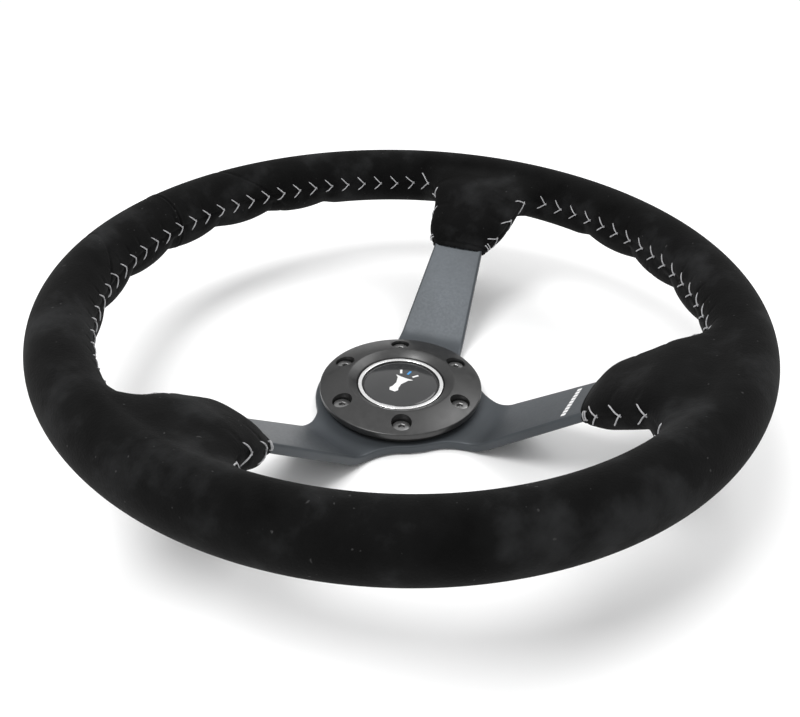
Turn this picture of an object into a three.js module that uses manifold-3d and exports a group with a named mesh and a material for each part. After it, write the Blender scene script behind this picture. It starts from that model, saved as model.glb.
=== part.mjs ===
// Three-spoke deep-dish steering wheel with a six-bolt boss, made to sit on a quick release hub.
// Millimetres. Origin at the centre of the boss's back face, +Z along the column towards the
// driver, +Y to 12 o'clock and +X to 3 o'clock.

import * as THREE from 'three';
import { mergeVertices } from 'three/addons/utils/BufferGeometryUtils.js';
import Module from 'manifold-3d';

const wasm = await Module();
wasm.setup();

// ---------------------------------------------------------------- driving dimensions

const GAP = 0.3;                    // clearance between a piece and the cavity it sits in

const WHEEL_RADIUS = 175;
const GRIP_RADIAL_HALF = 14.6;
const GRIP_AXIAL_HALF = 16.3;
const RIM_RADIUS = WHEEL_RADIUS - GRIP_RADIAL_HALF;
const RIM_HEIGHT = 64;              // grip centre plane above the boss's back face
const COVER_THICKNESS = 1.2;
const FOAM_INSET = COVER_THICKNESS + GAP;
const RIM_SEGMENTS = 48;
const GRIP_SIDES = 12;

const PLATE = 5;                    // spoke plate thickness
const PLATE_MIDDLE = PLATE / 2;
const SPOKE_ANGLES = [10, 170, 270];
const DISH_ANGLE = THREE.MathUtils.degToRad(38);
const DISH_CORNER = 53.5;           // where the flat boss and the raked blade would meet
const BEND_START = 46.5;
const RIM_BEND_RADIUS = 12;
const BLADE_HALF_AT_60 = 18.4;
const BLADE_TAPER = 0.0833;         // half-width lost per mm outwards
const BLADE_END = 165;
const HUB_RADIUS_LOWER = 44;        // boss edge in the two lower windows
const HUB_RADIUS_UPPER = 45.5;
const FILLET_LOWER = 28;
const FILLET_UPPER = 20;
const BORE_RADIUS = 25;

const BOLT_CIRCLE = 35;
const BOLT_COUNT = 6;
const BOLT_FIRST_ANGLE = 30;
const BOLT_RADIUS = 2.5;
const BOLT_HOLE = BOLT_RADIUS + GAP;

const HOOP_INNER = 153;
const HOOP_OUTER = 167;
const HOOP_BOTTOM = RIM_HEIGHT + PLATE_MIDDLE;
const HOOP_TOP = HOOP_BOTTOM + PLATE;
const RIVET_CIRCLE = 159;
const RIVET_SPREAD = 7;
const RIVET_RADIUS = 2.5;
const RIVET_HEAD_RADIUS = 4.5;
const RIVET_HEAD = 1.5;

const RING_RADIUS = 43;
const RING_OPENING = 23.4;
const RING_EDGE_HEIGHT = 11.6;
const RING_CREST_RADIUS = 28.2;
const RING_CREST_HEIGHT = 14.9;
const RING_INNER_HEIGHT = 12.1;
const RING_UNDERCUT_RADIUS = 40.5;
const RING_UNDERCUT_HEIGHT = 7.6;
const COUNTERBORE_RADIUS = 5.15;
const COUNTERBORE_FLOOR = 8;

const SCREW_HEAD_RADIUS = 4.6;
const SCREW_HEAD_HEIGHT = 2.9;
const SCREW_TIP = 0.25;
const HEX_ACROSS_FLATS = 3;

const HORN_TRAVEL = 1.5;
const FLOOR_BOTTOM = 3;             // underside of the horn housing's floor
const FLOOR_TOP = 4.5;
const HOUSING_RADIUS = 24.6;
const HOUSING_INNER = 23.5;
const HOUSING_FLANGE = 29.5;
const HOUSING_FLANGE_TOP = 6.5;
const CONTACT_INNER = 9;
const CONTACT_OUTER = 15;
const CONTACT_BOSS_TOP = 6;
const CONTACT_TOP = 6.75;
const CAP_RADIUS = 23;
const CAP_FLANGE = 26;
const CAP_BOTTOM = 9;
const CAP_FLANGE_TOP = 10;
const CAP_TOP = 10.5;
const MOVING_CONTACT_BOTTOM = CONTACT_TOP + HORN_TRAVEL + 0.25;
const SPRING_CIRCLE = 19.3;
const SPRING_RADIUS = 2;
const SPRING_WIRE = 0.25;
const SPRING_TURNS = 3;
const SPRING_ANGLES = [60, 180, 300];
const TERMINAL_THICKNESS = 0.8;
const TERMINAL_WIDTH = 6.3;
const TERMINAL_BOTTOM = FLOOR_BOTTOM - TERMINAL_THICKNESS;
const CONTACT_RIVET_X = (CONTACT_INNER + CONTACT_OUTER) / 2;
const CONTACT_RIVET_RADIUS = 1.5;
const GROUND_RIVET_RADIUS = 0.9;

// ---------------------------------------------------------------- materials

function paint(colour, roughness, metalness = 0) {
  return new THREE.MeshStandardMaterial({ color: colour, roughness, metalness });
}

const SUEDE = paint(0x26272a, 0.95);
const FOAM = paint(0x1b1b1c, 0.9);
const BLACK_ALLOY = paint(0x2c2f33, 0.45, 0.8);
const BARE_ALLOY = paint(0x9a9ca0, 0.4, 1);
const SATIN_RING = paint(0x3a3b3e, 0.5, 0.6);
const BLACK_STEEL = paint(0x202124, 0.4, 0.9);
const BLACK_PLASTIC = paint(0x151516, 0.6);
const CHROME = paint(0xe8e9ea, 0.08, 1);
const GLOSS_BLACK = paint(0x121315, 0.12);
const BRASS = paint(0xb08d4a, 0.35, 1);
const SPRING_STEEL = paint(0xa8aaad, 0.3, 1);

// ---------------------------------------------------------------- solids and placing

function toSolid(geometry) {
  const bare = geometry.clone();
  bare.deleteAttribute('normal');
  bare.deleteAttribute('uv');
  const merged = mergeVertices(bare, 1e-4);
  return new wasm.Manifold(new wasm.Mesh({
    numProp: 3,
    vertProperties: new Float32Array(merged.attributes.position.array),
    triVerts: new Uint32Array(merged.index.array),
  }));
}

function toGeometry(solid) {
  const mesh = solid.getMesh();
  const geometry = new THREE.BufferGeometry();
  geometry.setAttribute('position', new THREE.BufferAttribute(mesh.vertProperties, 3));
  geometry.setIndex(new THREE.BufferAttribute(mesh.triVerts, 1));
  geometry.computeVertexNormals();
  return geometry;
}

function union(solids) {
  return solids.reduce((whole, next) => whole.add(next));
}

function cut(solid, tools) {
  return tools.reduce((left, tool) => left.subtract(tool), solid);
}

// Turns [radius, height] points, listed anticlockwise in the section, about +Z.
function turned(points, segments) {
  const profile = points.map(([radius, height]) => new THREE.Vector2(radius, height));
  const geometry = new THREE.LatheGeometry(profile, segments);
  geometry.rotateX(Math.PI / 2);
  return geometry;
}

function closedTurned(points, segments) {
  return turned([...points, points[0]], segments);
}

function rod(radius, bottom, top, x, y, segments) {
  const geometry = turned([[0, bottom], [radius, bottom], [radius, top], [0, top]], segments);
  geometry.translate(x, y, 0);
  return toSolid(geometry);
}

function polar(radius, degrees) {
  const angle = THREE.MathUtils.degToRad(degrees);
  return [radius * Math.cos(angle), radius * Math.sin(angle)];
}

function boltPlaces() {
  return Array.from({ length: BOLT_COUNT }, (_, index) => (
    polar(BOLT_CIRCLE, BOLT_FIRST_ANGLE + index * 360 / BOLT_COUNT)
  ));
}

function turnedToSpoke(x, y, degrees) {
  const point = new THREE.Vector2(x, y);
  return point.rotateAround(new THREE.Vector2(0, 0), THREE.MathUtils.degToRad(degrees));
}

function rivetPlaces() {
  return SPOKE_ANGLES.flatMap((angle) => [-RIVET_SPREAD, RIVET_SPREAD].map((side) => (
    turnedToSpoke(RIVET_CIRCLE, side, angle)
  )));
}

// ---------------------------------------------------------------- dish line of a spoke

const HUB_BEND_RADIUS = (DISH_CORNER - BEND_START) / Math.tan(DISH_ANGLE / 2);
const HUB_BEND_END = BEND_START + HUB_BEND_RADIUS * Math.sin(DISH_ANGLE);
const RIM_CORNER = DISH_CORNER + (RIM_HEIGHT - PLATE_MIDDLE) / Math.tan(DISH_ANGLE);
const RIM_BEND_END = RIM_CORNER + RIM_BEND_RADIUS * Math.tan(DISH_ANGLE / 2);
const RIM_BEND_START = RIM_BEND_END - RIM_BEND_RADIUS * Math.sin(DISH_ANGLE);

// Height and tilt of the plate's middle line at a distance from the column's axis.
function dishLine(distance) {
  if (distance <= BEND_START) {
    return { height: PLATE_MIDDLE, tilt: 0 };
  }
  if (distance < HUB_BEND_END) {
    const tilt = Math.asin((distance - BEND_START) / HUB_BEND_RADIUS);
    return { height: PLATE_MIDDLE + HUB_BEND_RADIUS * (1 - Math.cos(tilt)), tilt };
  }
  if (distance <= RIM_BEND_START) {
    const height = PLATE_MIDDLE + (distance - DISH_CORNER) * Math.tan(DISH_ANGLE);
    return { height, tilt: DISH_ANGLE };
  }
  if (distance < RIM_BEND_END) {
    const tilt = Math.asin((RIM_BEND_END - distance) / RIM_BEND_RADIUS);
    return { height: RIM_HEIGHT - RIM_BEND_RADIUS * (1 - Math.cos(tilt)), tilt };
  }
  return { height: RIM_HEIGHT, tilt: 0 };
}

function arcStations(start, end, count) {
  return Array.from({ length: count + 1 }, (_, index) => start + (end - start) * index / count);
}

// A wide strip of plate bent to the dish line, with its faces offset from the middle line.
function bentStrip(halfThickness, from, halfWidth, angle) {
  const stations = [
    from,
    ...arcStations(BEND_START, HUB_BEND_END, 5),
    ...arcStations(RIM_BEND_START, RIM_BEND_END, 4),
    BLADE_END + 5,
  ].filter((distance) => distance >= from);
  const face = (side) => stations.map((distance) => {
    const { height, tilt } = dishLine(distance);
    return new THREE.Vector2(
      distance - side * halfThickness * Math.sin(tilt),
      height + side * halfThickness * Math.cos(tilt),
    );
  });
  const shape = new THREE.Shape([...face(-1), ...face(1).reverse()]);
  const geometry = new THREE.ExtrudeGeometry(shape, { depth: 2 * halfWidth, bevelEnabled: false });
  geometry.translate(0, 0, -halfWidth);
  geometry.rotateX(Math.PI / 2);
  geometry.rotateZ(THREE.MathUtils.degToRad(angle));
  return toSolid(geometry);
}

function bladeHalfWidth(distance) {
  return BLADE_HALF_AT_60 - (distance - 60) * BLADE_TAPER;
}

// Fillet that touches the boss circle and a blade's straight edge, in the blade's own axes.
function bladeFillet(hubRadius, filletRadius) {
  const reach = hubRadius + filletRadius;
  const lean = Math.atan(BLADE_TAPER);
  const edgeAtAxis = bladeHalfWidth(0) + filletRadius / Math.cos(lean);
  const along = edgeAtAxis * Math.sin(lean)
    + Math.sqrt(reach ** 2 - (edgeAtAxis * Math.cos(lean)) ** 2);
  const x = along * Math.cos(lean);
  const y = edgeAtAxis - along * Math.sin(lean);
  return { x, y, radius: filletRadius, hubAngle: Math.atan2(y, x), edgeAngle: Math.PI / 2 + lean };
}

// The spider seen from the driver: a round boss with three tapering blades.
function spiderOutline() {
  const shape = new THREE.Shape();
  const isUpper = (angle, side) => (angle === 10 && side > 0) || (angle === 170 && side < 0);
  SPOKE_ANGLES.forEach((degrees) => {
    const angle = THREE.MathUtils.degToRad(degrees);
    const fillets = [-1, 1].map((side) => (isUpper(degrees, side)
      ? bladeFillet(HUB_RADIUS_UPPER, FILLET_UPPER)
      : bladeFillet(HUB_RADIUS_LOWER, FILLET_LOWER)));
    const [right, left] = fillets;
    const rightCentre = turnedToSpoke(right.x, -right.y, degrees);
    shape.absarc(
      rightCentre.x, rightCentre.y, right.radius,
      angle + Math.PI - right.hubAngle, angle + Math.PI - right.edgeAngle, true,
    );
    const endHalf = bladeHalfWidth(BLADE_END);
    const corners = [-endHalf, endHalf].map((side) => turnedToSpoke(BLADE_END, side, degrees));
    corners.forEach((corner) => shape.lineTo(corner.x, corner.y));
    const leftCentre = turnedToSpoke(left.x, left.y, degrees);
    shape.absarc(
      leftCentre.x, leftCentre.y, left.radius,
      angle + Math.PI + left.edgeAngle, angle + Math.PI + left.hubAngle, true,
    );
    const next = SPOKE_ANGLES[(SPOKE_ANGLES.indexOf(degrees) + 1) % SPOKE_ANGLES.length];
    const isTop = degrees === 10;
    const nextFillet = isTop
      ? bladeFillet(HUB_RADIUS_UPPER, FILLET_UPPER)
      : bladeFillet(HUB_RADIUS_LOWER, FILLET_LOWER);
    shape.absarc(
      0, 0, isTop ? HUB_RADIUS_UPPER : HUB_RADIUS_LOWER,
      angle + left.hubAngle, THREE.MathUtils.degToRad(next) - nextFillet.hubAngle, false,
    );
  });
  return shape;
}

function spokeFrame() {
  const prism = toSolid(new THREE.ExtrudeGeometry(spiderOutline(), {
    depth: RIM_HEIGHT + 20, bevelEnabled: false, curveSegments: 5,
  }).translate(0, 0, -10));
  const boss = rod(BEND_START - 0.2, 0, PLATE, 0, 0, 36);
  const strips = SPOKE_ANGLES.map((angle) => bentStrip(PLATE_MIDDLE, 0, 36, angle));
  const blank = union([boss, ...strips]).intersect(prism);
  const boltHoles = boltPlaces().map(([x, y]) => rod(BOLT_HOLE, -1, PLATE + 1, x, y, 12));
  const rivetHoles = rivetPlaces().map(({ x, y }) => (
    rod(RIVET_RADIUS + GAP, RIM_HEIGHT - 5, RIM_HEIGHT + 5, x, y, 8)
  ));
  return cut(blank, [rod(BORE_RADIUS, -1, PLATE + 1, 0, 0, 36), ...boltHoles, ...rivetHoles]);
}

// ---------------------------------------------------------------- rim and grip

function rimHoop() {
  const hoop = toSolid(closedTurned([
    [HOOP_INNER, HOOP_BOTTOM], [HOOP_OUTER, HOOP_BOTTOM],
    [HOOP_OUTER, HOOP_TOP], [HOOP_INNER, HOOP_TOP],
  ], RIM_SEGMENTS));
  const holes = rivetPlaces().map(({ x, y }) => (
    rod(RIVET_RADIUS + GAP, HOOP_BOTTOM - 1, HOOP_TOP + 1, x, y, 8)
  ));
  return cut(hoop, holes);
}

function rimRivet() {
  const bottom = RIM_HEIGHT - PLATE_MIDDLE;
  return turned([
    [0, bottom - RIVET_HEAD], [RIVET_HEAD_RADIUS - 1, bottom - RIVET_HEAD],
    [RIVET_HEAD_RADIUS, bottom], [RIVET_RADIUS, bottom],
    [RIVET_RADIUS, HOOP_TOP], [RIVET_HEAD_RADIUS, HOOP_TOP],
    [RIVET_HEAD_RADIUS - 1, HOOP_TOP + RIVET_HEAD], [0, HOOP_TOP + RIVET_HEAD],
  ], 8);
}

function gripRing(inset) {
  const ellipse = new THREE.EllipseCurve(
    RIM_RADIUS, RIM_HEIGHT, GRIP_RADIAL_HALF - inset, GRIP_AXIAL_HALF - inset,
  );
  const points = ellipse.getPoints(GRIP_SIDES).slice(0, GRIP_SIDES).map(({ x, y }) => [x, y]);
  return toSolid(closedTurned(points, RIM_SEGMENTS));
}

// Stations of the padded sleeve on a spoke: distance from the column's axis, half-width and
// half-thickness. It swells to a thumb rest and flares into the rim.
const SLEEVE_STATIONS = [
  [100, 18.2, 5.2],
  [104, 20.0, 8.0],
  [110, 22.0, 10.6],
  [118, 22.0, 11.0],
  [126, 24.0, 12.0],
  [132, 29.0, 13.2],
  [138, 39.0, 13.8],
  [144, 46.0, 13.8],
  [158, 50.0, 12.0],
];
const SLEEVE_SIDES = 12;
const SLEEVE_SQUARENESS = 0.5;      // 1 is an ellipse, less is boxier

function signedPower(value, power) {
  return Math.sign(value) * Math.abs(value) ** power;
}

// A cylinder's wall is bent along the dish line and given each station's section.
function spokeSleeve(inset, angle, overrun) {
  const last = SLEEVE_STATIONS.length - 1;
  const geometry = new THREE.CylinderGeometry(1, 1, last, SLEEVE_SIDES, last);
  const position = geometry.attributes.position;
  for (let index = 0; index < position.count; index += 1) {
    const station = Math.round(position.getY(index) + last / 2);
    const [distance, halfWidth, halfThickness] = SLEEVE_STATIONS[station];
    const { height, tilt } = dishLine(distance);
    const across = signedPower(-position.getX(index), SLEEVE_SQUARENESS) * (halfWidth - inset);
    const up = signedPower(position.getZ(index), SLEEVE_SQUARENESS) * (halfThickness - inset);
    const back = station === 0 ? overrun : 0;
    position.setXYZ(
      index,
      distance - up * Math.sin(tilt) - back * Math.cos(tilt),
      across,
      height + up * Math.cos(tilt) - back * Math.sin(tilt),
    );
  }
  geometry.rotateZ(THREE.MathUtils.degToRad(angle));
  return toSolid(geometry);
}

function gripShape(inset, overrun) {
  const sleeves = SPOKE_ANGLES.map((angle) => spokeSleeve(inset, angle, overrun));
  return union([gripRing(inset), ...sleeves]);
}

function rimCover() {
  return gripShape(0, 0).subtract(gripShape(COVER_THICKNESS, 4));
}

function bladeCavity(angle) {
  const edge = (distance) => bladeHalfWidth(distance) + GAP;
  const plan = new THREE.Shape([
    new THREE.Vector2(80, -edge(80)), new THREE.Vector2(BLADE_END + GAP, -edge(BLADE_END)),
    new THREE.Vector2(BLADE_END + GAP, edge(BLADE_END)), new THREE.Vector2(80, edge(80)),
  ]);
  const prism = new THREE.ExtrudeGeometry(plan, { depth: RIM_HEIGHT + 20, bevelEnabled: false });
  prism.rotateZ(THREE.MathUtils.degToRad(angle));
  return bentStrip(PLATE_MIDDLE + GAP, 80, 24, angle).intersect(toSolid(prism));
}

function rimFoam() {
  const hoopCavity = toSolid(closedTurned([
    [HOOP_INNER - GAP, HOOP_BOTTOM - GAP], [HOOP_OUTER + GAP, HOOP_BOTTOM - GAP],
    [HOOP_OUTER + GAP, HOOP_TOP + GAP], [HOOP_INNER - GAP, HOOP_TOP + GAP],
  ], RIM_SEGMENTS));
  const rivetCavities = rivetPlaces().map(({ x, y }) => rod(
    RIVET_HEAD_RADIUS + GAP,
    RIM_HEIGHT - PLATE_MIDDLE - RIVET_HEAD - GAP,
    HOOP_TOP + RIVET_HEAD + GAP,
    x, y, 8,
  ));
  const tools = [hoopCavity, ...SPOKE_ANGLES.map(bladeCavity), ...rivetCavities];
  return cut(gripShape(FOAM_INSET, 0), tools);
}

// ---------------------------------------------------------------- trim ring and bolts

function trimRing() {
  const blank = toSolid(closedTurned([
    [HOUSING_FLANGE + 0.5, PLATE], [RING_UNDERCUT_RADIUS, PLATE],
    [RING_UNDERCUT_RADIUS, RING_UNDERCUT_HEIGHT], [RING_RADIUS - 0.4, RING_UNDERCUT_HEIGHT],
    [RING_RADIUS, RING_UNDERCUT_HEIGHT + 0.4], [RING_RADIUS, RING_EDGE_HEIGHT - 0.5],
    [RING_RADIUS - 0.7, RING_EDGE_HEIGHT + 0.2],
    [RING_CREST_RADIUS + 1, RING_CREST_HEIGHT - 0.2], [RING_CREST_RADIUS, RING_CREST_HEIGHT],
    [RING_OPENING + 0.5, RING_INNER_HEIGHT + 0.1], [RING_OPENING, RING_INNER_HEIGHT - 0.3],
    [RING_OPENING, CAP_FLANGE_TOP + 0.25], [CAP_FLANGE + 0.6, CAP_FLANGE_TOP + 0.25],
    [CAP_FLANGE + 0.6, HOUSING_FLANGE_TOP + 0.25],
    [HOUSING_FLANGE + 0.5, HOUSING_FLANGE_TOP + 0.25],
  ], 40));
  const tools = boltPlaces().flatMap(([x, y]) => [
    rod(COUNTERBORE_RADIUS, COUNTERBORE_FLOOR, 20, x, y, 16),
    rod(BOLT_HOLE, 0, COUNTERBORE_FLOOR + 1, x, y, 10),
  ]);
  return cut(blank, tools);
}

function mountingScrew() {
  const headTop = COUNTERBORE_FLOOR + SCREW_HEAD_HEIGHT;
  const screw = toSolid(turned([
    [0, SCREW_TIP], [BOLT_RADIUS - 0.5, SCREW_TIP], [BOLT_RADIUS, SCREW_TIP + 0.5],
    [BOLT_RADIUS, COUNTERBORE_FLOOR], [SCREW_HEAD_RADIUS, COUNTERBORE_FLOOR],
    [SCREW_HEAD_RADIUS, COUNTERBORE_FLOOR + 0.6], [SCREW_HEAD_RADIUS - 0.9, headTop - 0.7],
    [SCREW_HEAD_RADIUS - 2.1, headTop], [0, headTop],
  ], 14));
  const cornerRadius = HEX_ACROSS_FLATS / Math.sqrt(3);
  return screw.subtract(rod(cornerRadius, headTop - 1.6, headTop + 1, 0, 0, 6));
}

// ---------------------------------------------------------------- horn switch

function hornHousing() {
  const tub = toSolid(turned([
    [0, FLOOR_BOTTOM], [HOUSING_RADIUS, FLOOR_BOTTOM], [HOUSING_RADIUS, PLATE],
    [HOUSING_FLANGE, PLATE], [HOUSING_FLANGE, HOUSING_FLANGE_TOP],
    [HOUSING_INNER, HOUSING_FLANGE_TOP], [HOUSING_INNER, FLOOR_TOP],
    [CONTACT_OUTER, FLOOR_TOP], [CONTACT_OUTER, CONTACT_BOSS_TOP],
    [CONTACT_INNER, CONTACT_BOSS_TOP], [CONTACT_INNER, FLOOR_TOP], [0, FLOOR_TOP],
  ], 28));
  const pegs = [SPRING_ANGLES[0], SPRING_ANGLES[2]].map((angle) => {
    const [x, y] = polar(SPRING_CIRCLE, angle);
    return rod(1.2, FLOOR_TOP - 0.5, FLOOR_TOP + 1, x, y, 10);
  });
  const holes = [
    rod(CONTACT_RIVET_RADIUS + GAP, 0, 10, CONTACT_RIVET_X, 0, 12),
    rod(GROUND_RIVET_RADIUS + GAP, 0, 10, -SPRING_CIRCLE, 0, 10),
  ];
  return cut(union([tub, ...pegs]), holes);
}

function contactRing() {
  const ring = toSolid(closedTurned([
    [CONTACT_INNER, CONTACT_BOSS_TOP], [CONTACT_OUTER, CONTACT_BOSS_TOP],
    [CONTACT_OUTER, CONTACT_TOP], [CONTACT_INNER, CONTACT_TOP],
  ], 32));
  return cut(ring, [rod(CONTACT_RIVET_RADIUS + GAP, 0, 10, CONTACT_RIVET_X, 0, 12)]);
}

function terminalRivet(radius, headRadius, top, x) {
  const headBottom = TERMINAL_BOTTOM - 0.8;
  const geometry = turned([
    [0, headBottom], [headRadius - 0.4, headBottom], [headRadius, TERMINAL_BOTTOM],
    [radius, TERMINAL_BOTTOM], [radius, top], [0, top],
  ], 12);
  return geometry.translate(x, 0, 0);
}

// A flat spade tab lying under the floor, from its rivet hole out to a chamfered tip.
function terminal(length, holeRadius, x, degrees) {
  const half = TERMINAL_WIDTH / 2;
  const shape = new THREE.Shape();
  shape.absarc(0, 0, half, Math.PI / 2, 3 * Math.PI / 2, false);
  shape.lineTo(length - 1, -half);
  shape.lineTo(length, -half + 1);
  shape.lineTo(length, half - 1);
  shape.lineTo(length - 1, half);
  const rivetHole = new THREE.Path().absarc(0, 0, holeRadius, 0, 2 * Math.PI, true);
  const latchHole = new THREE.Path().absarc(length - 4, 0, 0.9, 0, 2 * Math.PI, true);
  shape.holes.push(rivetHole, latchHole);
  const geometry = new THREE.ExtrudeGeometry(shape, {
    depth: TERMINAL_THICKNESS, bevelEnabled: false, curveSegments: 8,
  });
  geometry.rotateZ(THREE.MathUtils.degToRad(degrees));
  return geometry.translate(x, 0, TERMINAL_BOTTOM);
}

function movingContact() {
  return closedTurned([
    [5.3, MOVING_CONTACT_BOTTOM], [21.8, MOVING_CONTACT_BOTTOM],
    [21.8, CAP_BOTTOM], [5.3, CAP_BOTTOM],
  ], 32);
}

function hornCap() {
  return turned([
    [0, MOVING_CONTACT_BOTTOM - 1.25], [2, MOVING_CONTACT_BOTTOM - 1.25],
    [2, MOVING_CONTACT_BOTTOM], [5, MOVING_CONTACT_BOTTOM], [5, CAP_BOTTOM],
    [CAP_FLANGE, CAP_BOTTOM], [CAP_FLANGE, CAP_FLANGE_TOP], [CAP_RADIUS, CAP_FLANGE_TOP],
    [CAP_RADIUS, CAP_TOP], [0, CAP_TOP],
  ], 32);
}

function pushNut() {
  return closedTurned([
    [2.3, MOVING_CONTACT_BOTTOM - 0.6], [7.5, MOVING_CONTACT_BOTTOM - 0.6],
    [7.5, MOVING_CONTACT_BOTTOM], [2.3, MOVING_CONTACT_BOTTOM],
  ], 20);
}

function hornBezel() {
  return closedTurned([
    [20.6, CAP_TOP], [22.8, CAP_TOP], [22.8, CAP_TOP + 1.1], [22.3, CAP_TOP + 1.6],
    [21.1, CAP_TOP + 1.6], [20.6, CAP_TOP + 1.2],
  ], 36);
}

function hornEmblem() {
  return turned([
    [0, CAP_TOP], [19.8, CAP_TOP], [19.8, CAP_TOP + 1.2], [18.8, CAP_TOP + 1.6],
    [13, CAP_TOP + 2.1], [6.5, CAP_TOP + 2.4], [0, CAP_TOP + 2.5],
  ], 28);
}

class SpringCurve extends THREE.Curve {
  constructor(radius, turns, length) {
    super();
    this.radius = radius;
    this.turns = turns;
    this.length = length;
  }

  getPoint(t, target = new THREE.Vector3()) {
    const angle = 2 * Math.PI * this.turns * t;
    return target.set(
      this.radius * Math.cos(angle), this.radius * Math.sin(angle), this.length * t,
    );
  }
}

function hornSpring() {
  const bottom = FLOOR_TOP + 0.1 + SPRING_WIRE;
  const top = MOVING_CONTACT_BOTTOM - 0.1 - SPRING_WIRE;
  const wire = new THREE.Shape().absarc(0, 0, SPRING_WIRE, 0, 2 * Math.PI, false);
  const geometry = new THREE.ExtrudeGeometry(wire, {
    steps: SPRING_TURNS * 10,
    curveSegments: 3,
    extrudePath: new SpringCurve(SPRING_RADIUS, SPRING_TURNS, top - bottom),
  });
  return geometry.translate(0, 0, bottom);
}

// ---------------------------------------------------------------- assembly

const wheel = new THREE.Group();

function add(name, geometry, material, x = 0, y = 0) {
  const mesh = new THREE.Mesh(geometry, material);
  mesh.name = name;
  mesh.position.set(x, y, 0);
  wheel.add(mesh);
}

add('spoke_frame', toGeometry(spokeFrame()), BLACK_ALLOY);
add('rim_hoop', toGeometry(rimHoop()), BARE_ALLOY);
rivetPlaces().forEach(({ x, y }, index) => {
  add(`rim_rivet_${index + 1}`, rimRivet(), BARE_ALLOY, x, y);
});
add('rim_foam', toGeometry(rimFoam()), FOAM);
add('rim_cover', toGeometry(rimCover()), SUEDE);

add('trim_ring', toGeometry(trimRing()), SATIN_RING);
boltPlaces().forEach(([x, y], index) => {
  add(`mounting_screw_${index + 1}`, toGeometry(mountingScrew()), BLACK_STEEL, x, y);
});

add('horn_housing', toGeometry(hornHousing()), BLACK_PLASTIC);
add('contact_ring', toGeometry(contactRing()), BRASS);
add('contact_rivet', terminalRivet(CONTACT_RIVET_RADIUS, 2.6, CONTACT_TOP, CONTACT_RIVET_X), BRASS);
add('ground_rivet', terminalRivet(GROUND_RIVET_RADIUS, 2.2, FLOOR_TOP + 1, -SPRING_CIRCLE), BRASS);
add('live_terminal', terminal(14, CONTACT_RIVET_RADIUS + GAP, CONTACT_RIVET_X, 90), BRASS);
add('ground_terminal', terminal(14, GROUND_RIVET_RADIUS + GAP, -SPRING_CIRCLE, 0), BRASS);
SPRING_ANGLES.forEach((angle, index) => {
  const [x, y] = polar(SPRING_CIRCLE, angle);
  add(`horn_spring_${index + 1}`, hornSpring(), SPRING_STEEL, x, y);
});

add('moving_contact', movingContact(), BRASS);
add('horn_cap', hornCap(), BLACK_PLASTIC);
add('push_nut', pushNut(), SPRING_STEEL);
add('horn_bezel', hornBezel(), CHROME);
add('horn_emblem', hornEmblem(), GLOSS_BLACK);

export default wheel;
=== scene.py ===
"""Looks of a three-spoke deep-dish steering wheel: a suede grip with a herringbone seam, dished
alloy spokes, a conical trim ring with socket screws and a chrome-rimmed horn button."""

import math
from contextlib import contextmanager

import bmesh
import bpy
import numpy as np
from mathutils import Matrix, Vector, geometry, kdtree


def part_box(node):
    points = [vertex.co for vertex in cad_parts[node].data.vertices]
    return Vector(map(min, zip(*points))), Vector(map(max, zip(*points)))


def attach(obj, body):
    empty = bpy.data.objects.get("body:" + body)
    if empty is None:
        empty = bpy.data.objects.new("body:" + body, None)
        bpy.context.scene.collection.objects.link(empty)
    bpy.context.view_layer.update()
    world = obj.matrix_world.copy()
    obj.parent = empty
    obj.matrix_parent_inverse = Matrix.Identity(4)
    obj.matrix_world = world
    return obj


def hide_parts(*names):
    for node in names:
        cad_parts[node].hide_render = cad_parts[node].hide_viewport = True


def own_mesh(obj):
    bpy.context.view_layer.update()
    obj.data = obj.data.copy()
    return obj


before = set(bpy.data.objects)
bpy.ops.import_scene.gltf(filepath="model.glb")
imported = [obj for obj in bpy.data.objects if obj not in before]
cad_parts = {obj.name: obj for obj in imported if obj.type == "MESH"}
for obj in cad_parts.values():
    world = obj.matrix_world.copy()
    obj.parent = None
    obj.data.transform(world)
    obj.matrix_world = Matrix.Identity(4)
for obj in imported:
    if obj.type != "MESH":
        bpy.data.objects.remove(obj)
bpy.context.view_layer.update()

# ------------------------------------------------------------------ sizes, in metres

MM = 0.001
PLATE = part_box("trim_ring")[0].z
HALF_PLATE = PLATE / 2
WHEEL_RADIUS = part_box("rim_cover")[1].x
GRIP_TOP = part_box("rim_cover")[1].z
RIM_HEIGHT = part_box("rim_hoop")[0].z - HALF_PLATE
GRIP_AXIAL = GRIP_TOP - RIM_HEIGHT
GRIP_RADIAL = 14.6 * MM
RIM_RADIUS = WHEEL_RADIUS - GRIP_RADIAL

SPOKES = [math.radians(angle) for angle in (10, 170, 270)]
DISH_ANGLE = math.radians(38)
DISH_CORNER = 53.5 * MM
BEND_START = 46.5 * MM
RIM_BEND_RADIUS = 12 * MM
BLADE_HALF_AT_60 = 18.4 * MM
BLADE_TAPER = 0.0833
BLADE_END = 165 * MM
UPPER_WINDOW = (45.5 * MM, 20 * MM)    # radius of the hub's edge, and of the fillets beside it
LOWER_WINDOW = (44 * MM, 28 * MM)
WINDOWS = [UPPER_WINDOW, LOWER_WINDOW, LOWER_WINDOW]    # the window that follows each spoke
BORE = 25 * MM
BOLT_CIRCLE = 35 * MM
BOLT_ANGLES = [math.radians(30 + 60 * index) for index in range(6)]
BOLT_PLACES = [
    BOLT_CIRCLE * np.array([math.cos(angle), math.sin(angle)]) for angle in BOLT_ANGLES
]
BOLT_HOLE = 2.8 * MM

# ------------------------------------------------------------------ dish line of a spoke

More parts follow.
